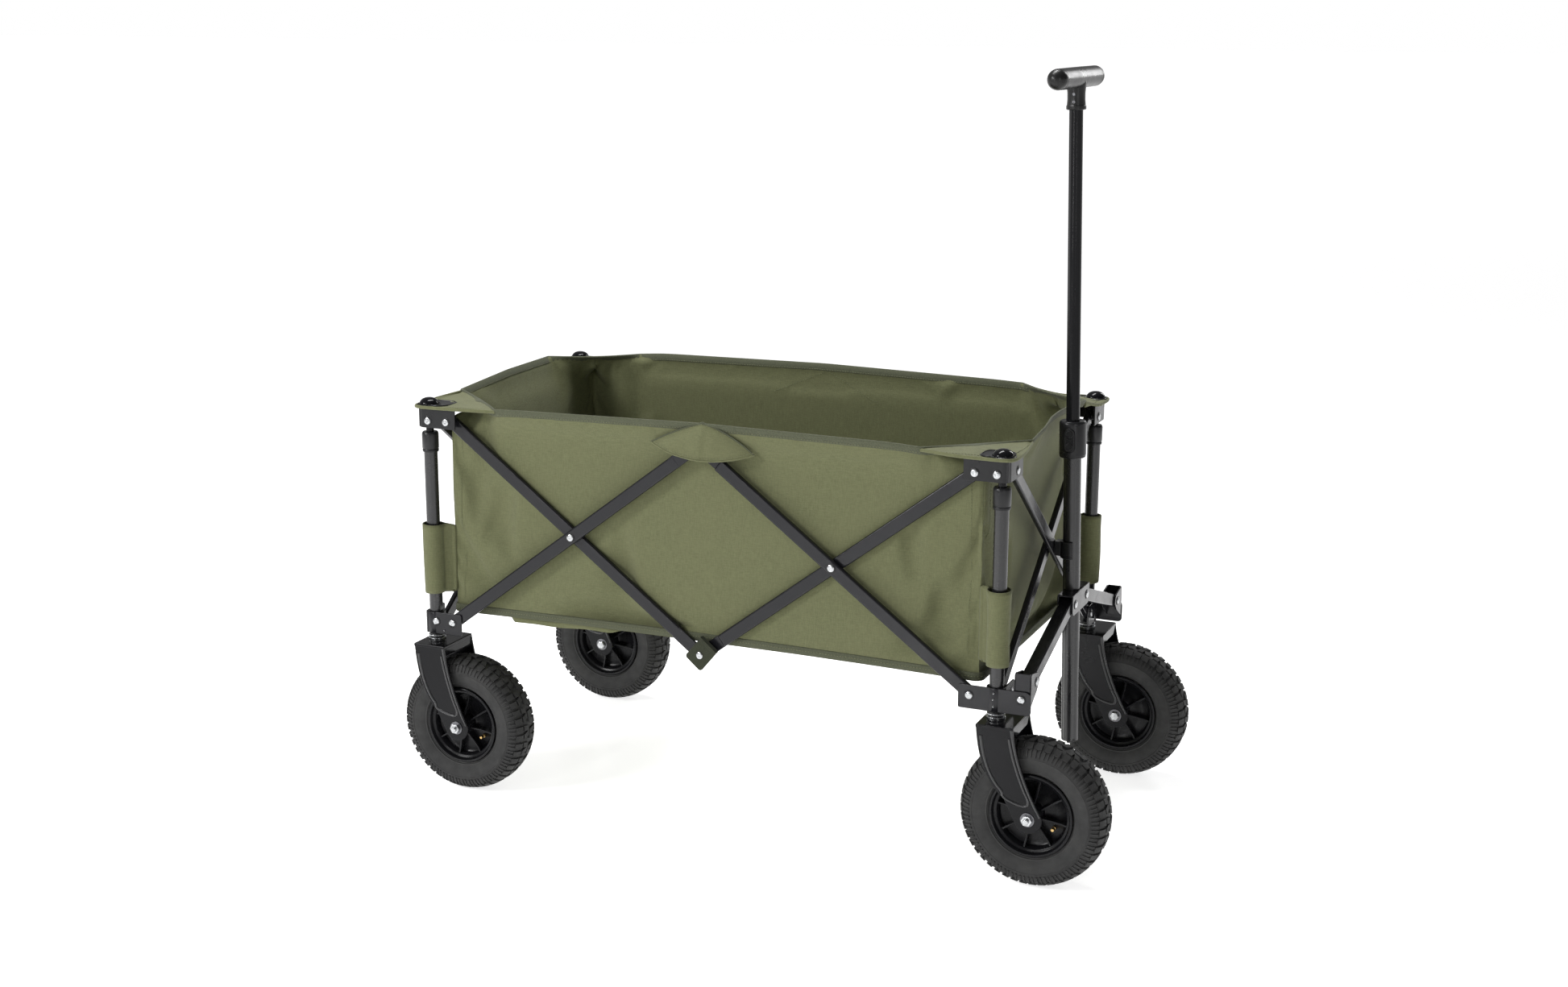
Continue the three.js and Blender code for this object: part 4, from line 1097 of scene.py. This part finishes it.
def settle(verts, faces, held, frames, slack):
    """Hangs a cloth by its held points and returns where its points come to rest."""
    mesh = bpy.data.meshes.new("settling")
    mesh.from_pydata((verts * MM).tolist(), [], faces)
    obj = bpy.data.objects.new("settling", mesh)
    bpy.context.scene.collection.objects.link(obj)
    group = obj.vertex_groups.new(name="held")
    for i, w in enumerate(held):
        if w > 0:
            group.add([i], float(w), "REPLACE")
    mod = obj.modifiers.new("Cloth", "CLOTH")
    settings = mod.settings
    settings.quality = 7
    settings.mass = 0.25
    settings.tension_stiffness = settings.compression_stiffness = 30
    settings.shear_stiffness = 12
    settings.bending_stiffness = 4.0
    settings.tension_damping = settings.compression_damping = 8
    settings.air_damping = 3.0
    settings.vertex_group_mass = "held"
    settings.pin_stiffness = 4
    settings.shrink_min = -slack
    mod.collision_settings.use_collision = False
    scene = bpy.context.scene
    mod.point_cache.frame_start, mod.point_cache.frame_end = 1, frames
    for f in range(1, frames + 1):
        scene.frame_set(f)
    graph = bpy.context.evaluated_depsgraph_get()
    result = obj.evaluated_get(graph).to_mesh()
    out = np.zeros(len(verts) * 3, np.float32)
    result.vertices.foreach_get("co", out)
    obj.evaluated_get(graph).to_mesh_clear()
    bpy.data.objects.remove(obj)
    scene.frame_set(1)
    return out.reshape(-1, 3).astype(float) / MM


def soft_limit(d, low, high):
    """Keeps a displacement between two limits without a hard edge."""
    return np.where(d > 0, high * np.tanh(d / high), low * np.tanh(d / low))


PRESS = 3.0
# folds pressed into a wall: place along it, height, heading in degrees, length, width, depth
FOLDS = {
    "right": [
        (-330, 500, 70, 120, 22, 6.0), (-300, 560, 25, 90, 14, 3.0), (-255, 545, 62, 70, 16, 4.5),
        (-372, 420, 66, 60, 10, 3.2), (-330, 352, 52, 70, 9, 3.0), (-395, 470, 84, 110, 14, 3.5),
        (-215, 455, 74, 80, 26, 3.0), (-60, 430, 80, 130, 36, 2.6), (20, 380, 20, 110, 18, 2.2),
        (120, 470, 75, 120, 30, 3.0), (215, 330, 18, 150, 14, 2.4), (265, 540, 128, 110, 22, 5.0),
        (330, 470, 100, 120, 18, 4.5), (372, 380, 96, 120, 14, 4.0), (300, 400, 62, 90, 12, 3.0),
        (400, 540, 112, 70, 12, 3.6), (-150, 330, 12, 120, 12, 2.2), (60, 560, 165, 90, 16, 2.2),
    ],
    "left": [
        (-360, 470, 84, 150, 16, 7.0), (-320, 540, 64, 110, 16, 5.0), (-385, 400, 94, 150, 12, 5.0),
        (-250, 500, 52, 90, 22, 4.0), (-130, 560, 38, 90, 18, 5.0), (-90, 500, 118, 80, 14, 4.0),
        (40, 470, 88, 110, 34, 3.5), (150, 540, 30, 110, 16, 2.6), (230, 430, 100, 120, 24, 4.0),
        (320, 520, 118, 120, 18, 5.0), (380, 440, 92, 150, 14, 4.5), (0, 360, 10, 200, 20, 2.4),
    ],
    "front": [
        (-150, 560, 60, 110, 14, 6.0), (-110, 480, 72, 120, 14, 5.0), (150, 560, 118, 110, 14, 5.0),
        (90, 470, 104, 120, 16, 4.0), (-20, 540, 84, 90, 20, 3.0), (-60, 380, 60, 110, 12, 3.0),
        (40, 350, 120, 90, 12, 3.0),
    ],
    "rear": [
        (-150, 550, 62, 120, 14, 5.0), (-60, 450, 78, 140, 18, 4.0), (130, 540, 112, 130, 14, 5.0),
        (60, 400, 100, 120, 14, 3.5), (0, 560, 88, 80, 18, 3.0),
    ],
}


def dents(points, facing):
    """How deep the folds press in at each point of the wall."""
    total = np.zeros(points.shape[:2])
    for name, along, out, _, _, _ in PANELS:
        on_panel = np.clip(facing[:, :2] @ np.array(out, float), 0, 1) ** 4
        s = points[..., 0] * along[0] + points[..., 1] * along[1]
        z = points[..., 2]
        for at, high, heading, length, width, depth in FOLDS[name]:
            a = math.radians(heading)
            u = (s - at) * math.cos(a) + (z - high) * math.sin(a)
            w = -(s - at) * math.sin(a) + (z - high) * math.cos(a)
            w = w + 0.0025 * u * u
            taper = np.exp(-((u / (0.6 * length)) ** 2))
            edge = np.exp(-((w / width) ** 2)) - 0.35 * np.exp(-(((w - 1.7 * width) / (0.9 * width)) ** 2))
            total += on_panel * PRESS * depth * taper * edge
    return total


SETTLE_FRAMES, SLACK = 36, 0.018
RIPPLE, BULGE, DRAW_IN, DEEPEST = 2.0, 1.5, 2.6, -22.0

grid, held, seams, columns, corner_spans = bag_grid()
ROWS, COLS = grid.shape[:2]
facing = np.array([[*c[1], 0.0] for c in columns])
flat_grid = grid.copy()
loose = (1 - held)[..., None]
grid = grid + facing[None] * ripple(grid)[..., None] * RIPPLE * loose
faces = grid_faces(ROWS, COLS, False, True)
rested = settle(grid.reshape(-1, 3), faces, held.ravel(), SETTLE_FRAMES, SLACK)
grid = rested.reshape(ROWS, COLS, 3)
shift = grid - flat_grid
outward = np.einsum("rck,ck->rc", shift, facing)
calm = np.sin(np.clip(np.arange(ROWS) / WALL_ROWS, 0, 1) * math.pi)[:, None] * (1 - held)
wanted = outward * BULGE - calm * (DRAW_IN + dents(flat_grid, facing))
# the bars lie against the wall's outside up to their upper pivots; above them it may stand out
room = np.where(flat_grid[..., 2] < 600, 0.8, 3.0)
grid = grid + facing[None] * (soft_limit(wanted, DEEPEST, room) - outward)[..., None]


def strip(columns_from, columns_to):
    """The columns from one seam to the next."""
    count = (columns_to - columns_from) % COLS
    return [(columns_from + k) % COLS for k in range(count + 1)]


BAG_BODIES = {"right": "top_rr", "front": "top_fr", "left": "top_rl", "rear": "top_rr"}


def crumple(obj, panel):
    """Gives the piece its own copy of its mesh, the same for sides, ends and floor."""
    if panel in ("right", "left"):
        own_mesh(obj)
    else:
        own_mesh(obj)


def cloth_piece(name, s, look, body, stands_for=(), thick=1.4):
    obj = piece(name, s, look, body, stands_for, angle=80)
    mod = obj.modifiers.new("Smooth", "SUBSURF")
    mod.levels = mod.render_levels = 1
    mod = obj.modifiers.new("Thickness", "SOLIDIFY")
    mod.thickness, mod.offset = thick * MM, -1.0
    return obj


TAPE = [
    (-1.9, -9.5), (-1.5, -10.4), (1.5, -10.4), (1.9, -9.5), (1.9, 0.6), (1.2, 1.7), (0.0, 2.1), (-1.2, 1.7),
    (-1.9, 0.6),
]
STITCH_PITCH, STITCH_LENGTH, STITCH_R = 4.6, 3.0, 0.42
# place along a stitch, its share of the radius and how far it stands up
STITCH_RINGS = [(0, 0.45, -0.2), (0.25, 1.0, 0.25), (0.75, 1.0, 0.25), (1, 0.45, -0.2)]


def stitches(path, normal):
    """A row of stitches on a line, each a small raised thread."""
    path = np.asarray(path, float)
    steps = distances(path)
    normal = np.asarray(normal, float)
    normal = np.tile(normal, (len(path), 1)) if normal.ndim == 1 else normal
    found = []
    for s in np.arange(STITCH_PITCH / 2, steps[-1] - STITCH_LENGTH, STITCH_PITCH):
        ends = [np.array([np.interp(s + d, steps, path[:, k]) for k in range(3)]) for d in (0, STITCH_LENGTH)]
        up = np.array([np.interp(s, steps, normal[:, k]) for k in range(3)])
        up /= np.linalg.norm(up)
        ahead = (ends[1] - ends[0]) / np.linalg.norm(ends[1] - ends[0])
        side = np.cross(ahead, up)
        verts = []
        for at, size, rise in STITCH_RINGS:
            p = ends[0] + (ends[1] - ends[0]) * at + up * rise
            turn = ((-1, 0), (0, 1), (1, 0), (0, -1))
            verts += [p + (side * x + up * y) * STITCH_R * size for x, y in turn]
        faces = [tuple(reversed(f)) for f in grid_faces(4, 4, False, True)] + [(0, 1, 2, 3), (15, 14, 13, 12)]
        found.append(shape(verts, faces))
    return join(*found)


BAG_NODES = {
    "right": "bag_side_right", "left": "bag_side_left", "front": "bag_end_front", "rear": "bag_end_rear",
}
SEAM_COLUMN = 1 + CORNER_COLUMNS // 2
STITCH_OUT, RIM_STITCH_DROP, HEM_STITCH_RISE = 2.1, 8.2, 4.4
panel_grids = {}
for k, (name, *_) in enumerate(PANELS):
    cols = strip(seams[k - 1], seams[k])
    part = grid[:, cols]
    out = facing[cols]
    panel_grids[name] = (part, out)
    body = BAG_BODIES[name]
    sheet_shape = shape(part.reshape(-1, 3), grid_faces(ROWS, len(cols)))
    wall = cloth_piece(f"bag_wall_{name}", sheet_shape, "canvas", body, BAG_NODES[name])
    rim_up = part[-1] - part[-2]
    rim_up /= np.linalg.norm(rim_up, axis=1)[:, None]
    tape = sweep(part[-1], TAPE, up=rim_up)
    binding = piece(f"bag_binding_{name}", tape, "binding", body, angle=50)
    hem_line = part[0] + out * 0.4
    hem_tape = sweep(hem_line, [(x * 0.9, y + 8.0) for x, y in TAPE])
    hem = piece(f"bag_hem_{name}", hem_tape, "binding", body, angle=50)
    sewn_rim = part[-1] - rim_up * RIM_STITCH_DROP
    lines = [
        stitches(sewn_rim + out * STITCH_OUT, out),
        stitches(sewn_rim - out * STITCH_OUT, -out),
        stitches(part[0] + np.array([0, 0, HEM_STITCH_RISE]) + out * STITCH_OUT, out),
    ]
    for col in (SEAM_COLUMN, -1 - SEAM_COLUMN):
        lines.append(stitches(part[2:WALL_ROWS, col] + out[col] * 0.35, out[col]))
    sewing = piece(f"bag_stitches_{name}", join(*lines), "thread", body)
    for obj in (wall, binding, hem, sewing):
        crumple(obj, name)

# ---------------------------------------------------------------- corner patches over the brackets


def ribbon(rows):
    """A sheet through rows of points."""
    rows = np.asarray(rows, float)
    return shape(rows.reshape(-1, 3), grid_faces(rows.shape[0], rows.shape[1]))


def resample(path, count):
    path = np.asarray(path, float)
    steps = distances(path)
    at = np.linspace(0, steps[-1], count)
    return np.column_stack([np.interp(at, steps, path[:, k]) for k in range(3)])


PATCH_Z, PATCH_ROWS, PATCH_POINTS, PATCH_DROP = 619.4, 9, 36, 1.5
# the outer edge over the bracket: distances from the wagon's middle, and how far it stands over PATCH_Z
PATCH_EDGE = [
    (400, 257, 0), (440, 260, 0), (466, 261, 0), (480, 258, 0), (486, 248, 0), (487, 226, 0), (485, 190, 1),
]
EDGE_ROLL = [(1.6 * math.cos(a), 2.6 * math.sin(a) - 1.2) for a in np.linspace(0, 2 * math.pi, 13)[:-1]]
for (first, last, *_), corner in zip(corner_spans, ("fr", "fl", "rl", "rr")):
    sx, sy = CORNERS[corner]
    body = f"top_{corner}"
    chord = resample([grid[-1, c % COLS] for c in range(first, last + 1)], PATCH_POINTS)
    if abs(chord[0][1]) < abs(chord[-1][1]):
        chord = chord[::-1]
    side_end, far_end = (p - [0, 0, PATCH_DROP] for p in (chord[0], chord[-1]))
    over = [(sx * x, -sy * y, PATCH_Z + lift) for x, y, lift in PATCH_EDGE]
    outer = resample(smooth_path([side_end, *over, far_end], 8), PATCH_POINTS)
    rows = []
    for k in range(PATCH_ROWS):
        t = k / (PATCH_ROWS - 1)
        line = chord * (1 - t) + outer * t
        sag = np.maximum(line[:, 2] - PATCH_Z - 0.5, 0) * min(1.0, 1.6 * math.sin(math.pi * t)) * t
        line[:, 2] += 0.5 * np.sin(line[:, 0] * 0.11) * math.sin(math.pi * t) - sag
        rows.append(line)
    sheet_shape = ribbon(rows)
    v, f = sheet_shape
    p, q, r = (v[i] for i in f[len(f) // 2][:3])
    if np.cross(q - p, r - p)[2] < 0:
        sheet_shape = (v, [tuple(reversed(x)) for x in f])
    patch = cloth_piece(f"corner_patch_{corner}", sheet_shape, "canvas_flat", body, thick=1.2)
    roll = piece(f"corner_roll_{corner}", sweep(outer, EDGE_ROLL), "canvas_flat", body, angle=70)
    mid = (np.array(rows[6]) + np.array(rows[7])) / 2 + np.array([0, 0, 0.3])
    sewing = piece(f"corner_stitches_{corner}", stitches(mid, (0, 0, 1)), "thread", body)
    plate_line = rounded(432, 479, -255, -208, [16, 12, 16, 12], 8)
    plate = prism(plate_line, PATCH_Z + 0.2, PATCH_Z + 1.2)
    bead_line = rounded(434, 477, -253, -210, [14, 10, 14, 10], 8)
    bead = sweep([(x, y, PATCH_Z + 1.3) for x, y in bead_line], circle(0.9), closed=True)
    cap_seat = lathe([(17.0, 0), (18.6, 0), (18.6, 1.7), (17.8, 2.2), (17.0, 1.7)], 40, closed=True)
    fitting = join(plate, bead, moved(cap_seat, POST_X, -POST_Y, PATCH_Z))
    fitting = mirrored(outward_faces(fitting), sx, sy)
    piece(f"cap_plate_{corner}", fitting, "plastic", body)

# ---------------------------------------------------------------- sleeves round the posts

SLEEVE_LOW, SLEEVE_HIGH, SLEEVE_R, SLEEVE_ROWS, STITCH_INSET = 318.0, 428.0, 15.2, 12, 5.0
# the sleeve leaves the bag's corner seam, goes round the post and comes back to the seam
TAB_OUT, TAB_BACK = [(433.5, -229.6), (438.5, -233.2)], [(440.5, -231.2), (435.5, -227.6)]
for corner, (sx, sy) in CORNERS.items():
    rows = []
    for k in range(SLEEVE_ROWS):
        t = k / (SLEEVE_ROWS - 1)
        z = SLEEVE_LOW + (SLEEVE_HIGH - SLEEVE_LOW) * t
        wave = 0.8 * math.sin(3.1 * t + sx) + 0.5 * math.sin(8.0 * t + 2 * sy)
        r = SLEEVE_R + 0.5 * math.sin(5.0 * t + sx + sy) + 1.3 * t * t
        angles = np.radians(np.linspace(128, -196, 44))
        wrap = [(POST_X + r * math.cos(a), -POST_Y + r * math.sin(a)) for a in angles]
        loop = np.array([(x, y, z) for x, y in [*TAB_OUT, *wrap, *TAB_BACK]])
        loop[1:-1, 0] += wave * 0.4
        loop[1:-1, 2] += 1.2 * np.sin(np.linspace(0, 6, len(loop) - 2) + sx) * (t - 0.5)
        rows.append(loop)
    body = f"top_{corner}"
    sleeve = cloth_piece(f"sleeve_{corner}", mirrored(ribbon(rows), sx, sy), "canvas", body, thick=1.2)
    rims = [sweep(row[1:-1], circle(1.1)) for row in (rows[0], rows[-1])]
    hem = piece(f"sleeve_hem_{corner}", mirrored(join(*rims), sx, sy), "canvas", body)
    lines = []
    for row, rise in ((rows[0], STITCH_INSET), (rows[-1], -STITCH_INSET)):
        row = row[1:-1] + np.array([0, 0, rise])
        normal = row - np.array([POST_X, -POST_Y, 0])
        normal[:, 2] = 0
        lines.append(stitches(row + normal / np.linalg.norm(normal, axis=1)[:, None] * 0.3, normal))
    sewing = piece(f"sleeve_stitches_{corner}", mirrored(join(*lines), sx, sy), "thread", body)

# ---------------------------------------------------------------- covers over the top hinges


def wall_face(side, x, z):
    """How far out a side wall stands at a place on it."""
    part, _ = panel_grids[side]
    sign = -1 if side == "right" else 1
    gap = (part[..., 0] - x) ** 2 + (part[..., 2] - z) ** 2
    return sign * part[..., 1].ravel()[gap.argmin()]


# the cover's outline along the wall and up it
COVER_APEX, COVER_REAR, COVER_FRONT, COVER_LOW = (8, 631), (-77, 595), (91, 589), (5, 561)
COVER_Y, COVER_BULGE, COVER_ROWS, TAIL = WALL_Y + 15.5, 15.0, 10, 14
for side, sy in SIDES.items():
    body = BAG_BODIES[side]
    apex, left, right = COVER_APEX, COVER_REAR, COVER_FRONT
    rows = []
    for k in range(COVER_ROWS):
        t = k / (COVER_ROWS - 1)
        upper = np.vstack([quad(left, (-38, 616), apex, 20), quad(apex, (56, 617), right, 20)[1:]])
        lower = quad(left, COVER_LOW, right, 40)
        line = upper * (1 - t) + lower * t
        across = np.linspace(-1, 1, 41)
        bulge = COVER_BULGE * (1 - np.abs(across) ** 2.2) * math.sin(math.pi * 0.5 * min(1.0, 1.25 * t))
        fold = 1.1 * np.sin(across * 9 + 1.0) * t * (1 - across**2)
        fold = fold - 2.2 * np.exp(-(((across - 0.12) / 0.07) ** 2)) * (0.3 + 0.7 * t)
        rows.append(np.column_stack([line[:, 0], -COVER_Y - bulge - fold, line[:, 1]]))
    cover = cloth_piece(f"hinge_cover_{side}", mirrored(ribbon(rows[::-1]), 1, sy), "canvas", body)
    sewing = join(
        stitches(rows[0] + [0, -1.0, -2.0], (0, -1, 0.2)),
        stitches(rows[-1] + [0, -0.4, 4.0], (0, -1, 0)),
    )
    roll = piece(f"cover_edge_{side}", mirrored(sweep(rows[-1], circle(1.3)), 1, sy), "canvas", body)
    seam = piece(f"cover_seam_{side}", mirrored(sweep(rows[0], circle(1.2)), 1, sy), "binding", body)
    sewn = piece(f"cover_stitches_{side}", mirrored(sewing, 1, sy), "thread", body)
    for obj in (cover, roll, seam, sewn):
        crumple(obj, side)

    # the seams that hold the cover show inside the wall and run on past its ends
    for start, end, before, after, half in ((left, apex, TAIL, 0, "a"), (apex, right, 0, TAIL, "b")):
        start, end = np.array(start), np.array(end)
        way = (end - start) / math.hypot(*(end - start))
        start, end = start - way * before, end + way * after
        run = [start + (end - start) * k / 30 for k in range(31)]
        inner = np.array([(x, -wall_face(side, x, z) + 2.2, z) for x, z in run])
        row = mirrored(stitches(inner, (0, 1, 0)), 1, sy)
        crumple(piece(f"cover_inside_{side}_{half}", row, "thread", body), side)

# ---------------------------------------------------------------- skirts under the hem

SKIRT_REAR, SKIRT_FRONT, SKIRT_Y, SKIRT_TOP, SKIRT_DROP, SKIRT_POINTS = -338, -140, -229.0, 289.0, 9.5, 30
for side, sy in SIDES.items():
    rows = []
    for t in np.linspace(0, 1, 6):
        xs = np.linspace(SKIRT_REAR + 6 * t, SKIRT_FRONT - 20 * t, SKIRT_POINTS)
        sag = SKIRT_DROP * t * (1 - 0.45 * np.linspace(0, 1, SKIRT_POINTS) ** 2) + 0.8 * np.sin(xs * 0.07) * t
        rows.append(np.column_stack([xs, SKIRT_Y + 1.4 * t * np.sin(xs * 0.05), SKIRT_TOP - sag]))
    skirt = cloth_piece(f"skirt_{side}", mirrored(ribbon(rows[::-1]), 1, sy), "canvas", BAG_BODIES[side])
    crumple(skirt, side)

# ---------------------------------------------------------------- floor

PAD_X, PAD_OUT, PAD_IN, PAD_TOP, PAD_LOW = 434.5, -228.5, -1.0, 291.5, 290.0
# the underside reaches the walls and the other panel
UNDER_X, UNDER_OUT, UNDER_WIDE = 438.0, -232.6, 233.2
PAD_CROWN, QUILT_DEPTH, QUILT_WIDE, QUILT_X, PAD_SEWN_Z = 5.0, 1.1, 3.0, 217.0, 296.4
for side, sy in SIDES.items():
    nx, ny = 88, 24
    xs = np.concatenate([[-PAD_X, 0.8 - PAD_X], np.linspace(-427.0, 427.0, nx - 4), [PAD_X - 0.8, PAD_X]])
    ys = np.concatenate([[PAD_OUT, PAD_OUT + 0.8], np.linspace(-221.0, -8.0, ny - 4), [PAD_IN - 0.8, PAD_IN]])
    gx, gy = np.meshgrid(xs, ys)
    edge = np.minimum.reduce([gx + PAD_X, PAD_X - gx, (gy - PAD_OUT) * 2, (PAD_IN - gy) * 3])
    crown = PAD_CROWN * (1 - np.exp(-np.maximum(edge, 0) / 6.0))
    quilt = sum(QUILT_DEPTH * np.exp(-((x / QUILT_WIDE) ** 2)) for x in (np.abs(gx) - QUILT_X, gx))
    wave = 0.35 * np.sin(gx * 0.03 + gy * 0.02) + 0.3 * np.sin(gx * 0.017 - gy * 0.05)
    top = np.stack([gx, gy, PAD_TOP + crown - quilt + wave], -1)
    across = (gy - PAD_OUT) / (PAD_IN - PAD_OUT)
    bottom = np.stack([gx * UNDER_X / PAD_X, UNDER_OUT + UNDER_WIDE * across, PAD_LOW - 0.3 * crown], -1)
    upper = shape(top.reshape(-1, 3), grid_faces(ny, nx))
    lower = shape(bottom.reshape(-1, 3), [tuple(reversed(f)) for f in grid_faces(ny, nx)])
    rim_idx = (
        [(0, j) for j in range(nx)] + [(i, nx - 1) for i in range(1, ny)]
        + [(ny - 1, j) for j in range(nx - 2, -1, -1)] + [(i, 0) for i in range(ny - 2, 0, -1)]
    )
    verts, faces = join(upper, lower)
    base = nx * ny
    n = len(rim_idx)
    ids = [i * nx + j for i, j in rim_idx]
    faces = faces + [(ids[(k + 1) % n], ids[k], ids[k] + base, ids[(k + 1) % n] + base) for k in range(n)]
    body, pad = f"floor_{side}", mirrored(outward_faces((verts, faces)), 1, sy)
    board = piece(
        f"floor_pad_{side}", pad, "canvas_flat", body, f"bag_floor_{side}", levels=1, angle=80
    )
    lines = []
    for x in (-QUILT_X, 0.0, QUILT_X):
        for beside in (-3.4, 3.4):
            run = np.array([(x + beside, y, PAD_SEWN_Z) for y in np.linspace(-222, -8, 40)])
            lines.append(stitches(run, (0, 0, 1)))
    sewn = piece(f"floor_stitches_{side}", mirrored(join(*lines), 1, sy), "thread", body)
    for obj in (board, sewn):
        crumple(obj, side)

finish_fixings()

# ---------------------------------------------------------------- camera, floor and light

EYE = Vector((1300.3 + SHIFT, -2935.8, 1225.6)) * MM
YAW, PITCH, ROLL = -0.408, 0.231, 0.004
SENSOR, LENS = 36.0, 47.588


def studio():
    camera = bpy.data.objects.new("camera", bpy.data.cameras.new("camera"))
    bpy.context.scene.collection.objects.link(camera)
    forward = Vector((math.sin(YAW) * math.cos(PITCH), math.cos(YAW) * math.cos(PITCH), -math.sin(PITCH)))
    right = Vector((math.cos(YAW), -math.sin(YAW), 0))
    up = right.cross(forward)
    tilted = right * math.cos(ROLL) + up * math.sin(ROLL)
    upward = up * math.cos(ROLL) - right * math.sin(ROLL)
    turn = Matrix((tilted, upward, -forward)).transposed()
    camera.matrix_world = Matrix.Translation(EYE) @ turn.to_4x4()
    camera.data.sensor_width, camera.data.lens = SENSOR, LENS
    bpy.context.scene.camera = camera

    world = bpy.data.worlds.new("studio")
    bpy.context.scene.world = world
    sky = Nodes(world)
    view = sky.node("ShaderNodeTexCoord").outputs["Generated"]
    axes = sky.node("ShaderNodeSeparateXYZ", view).outputs
    # brighter from behind the wagon, and white along the horizon
    from_behind, horizon = sky.span(axes[0], -0.9, 0.9, 0.36, 0.08), sky.span(axes[2], 0.04, 0.12, 1.0, 0.0)
    strength = sky.math("MAXIMUM", from_behind, horizon)
    backdrop = sky.nodes["Background"]
    sky.links.new(strength, backdrop.inputs["Strength"])
    backdrop.inputs["Color"].default_value = (1.0, 1.0, 1.0, 1)

    mesh = bpy.data.meshes.new("floor")
    mesh.from_pydata([(-60, -60, 0), (60, -60, 0), (60, 60, 0), (-60, 60, 0)], [], [(0, 1, 2, 3)])
    floor = bpy.data.objects.new("floor", mesh)
    bpy.context.scene.collection.objects.link(floor)
    paper = Look("floor", (0.93, 0.93, 0.93), 0.22, specular=0.4)
    paper.set("Emission Color", (1, 1, 1, 1))
    paper.set("Emission Strength", 0.72)
    mesh.materials.append(paper.material)

    def softbox(name, at, target, width, height, power):
        light = bpy.data.lights.new(name, "AREA")
        light.shape = "RECTANGLE"
        light.size, light.size_y, light.energy = width, height, power
        obj = bpy.data.objects.new(name, light)
        bpy.context.scene.collection.objects.link(obj)
        obj.location = at
        obj.rotation_euler = (Vector(target) - Vector(at)).to_track_quat("-Z", "Y").to_euler()

    softbox("key", (-2.5, -3.0, 2.3), (0, 0, 0.4), 1.0, 1.0, 82)
    softbox("top", (-0.3, 0.2, 3.0), (0, 0, 0.3), 1.8, 0.3, 72)
    softbox("rim", (1.2, 3.2, 2.0), (0.2, 0, 0.5), 0.5, 1.6, 26)
    softbox("strip", (2.3, -2.5, 1.3), (0.2, 0, 0.4), 0.1, 1.5, 8)
    softbox("streak", (-0.8, -3.5, 1.3), (0, 0, 0.5), 0.12, 1.7, 17)


studio()
bpy.context.scene.view_settings.view_transform = "Standard"
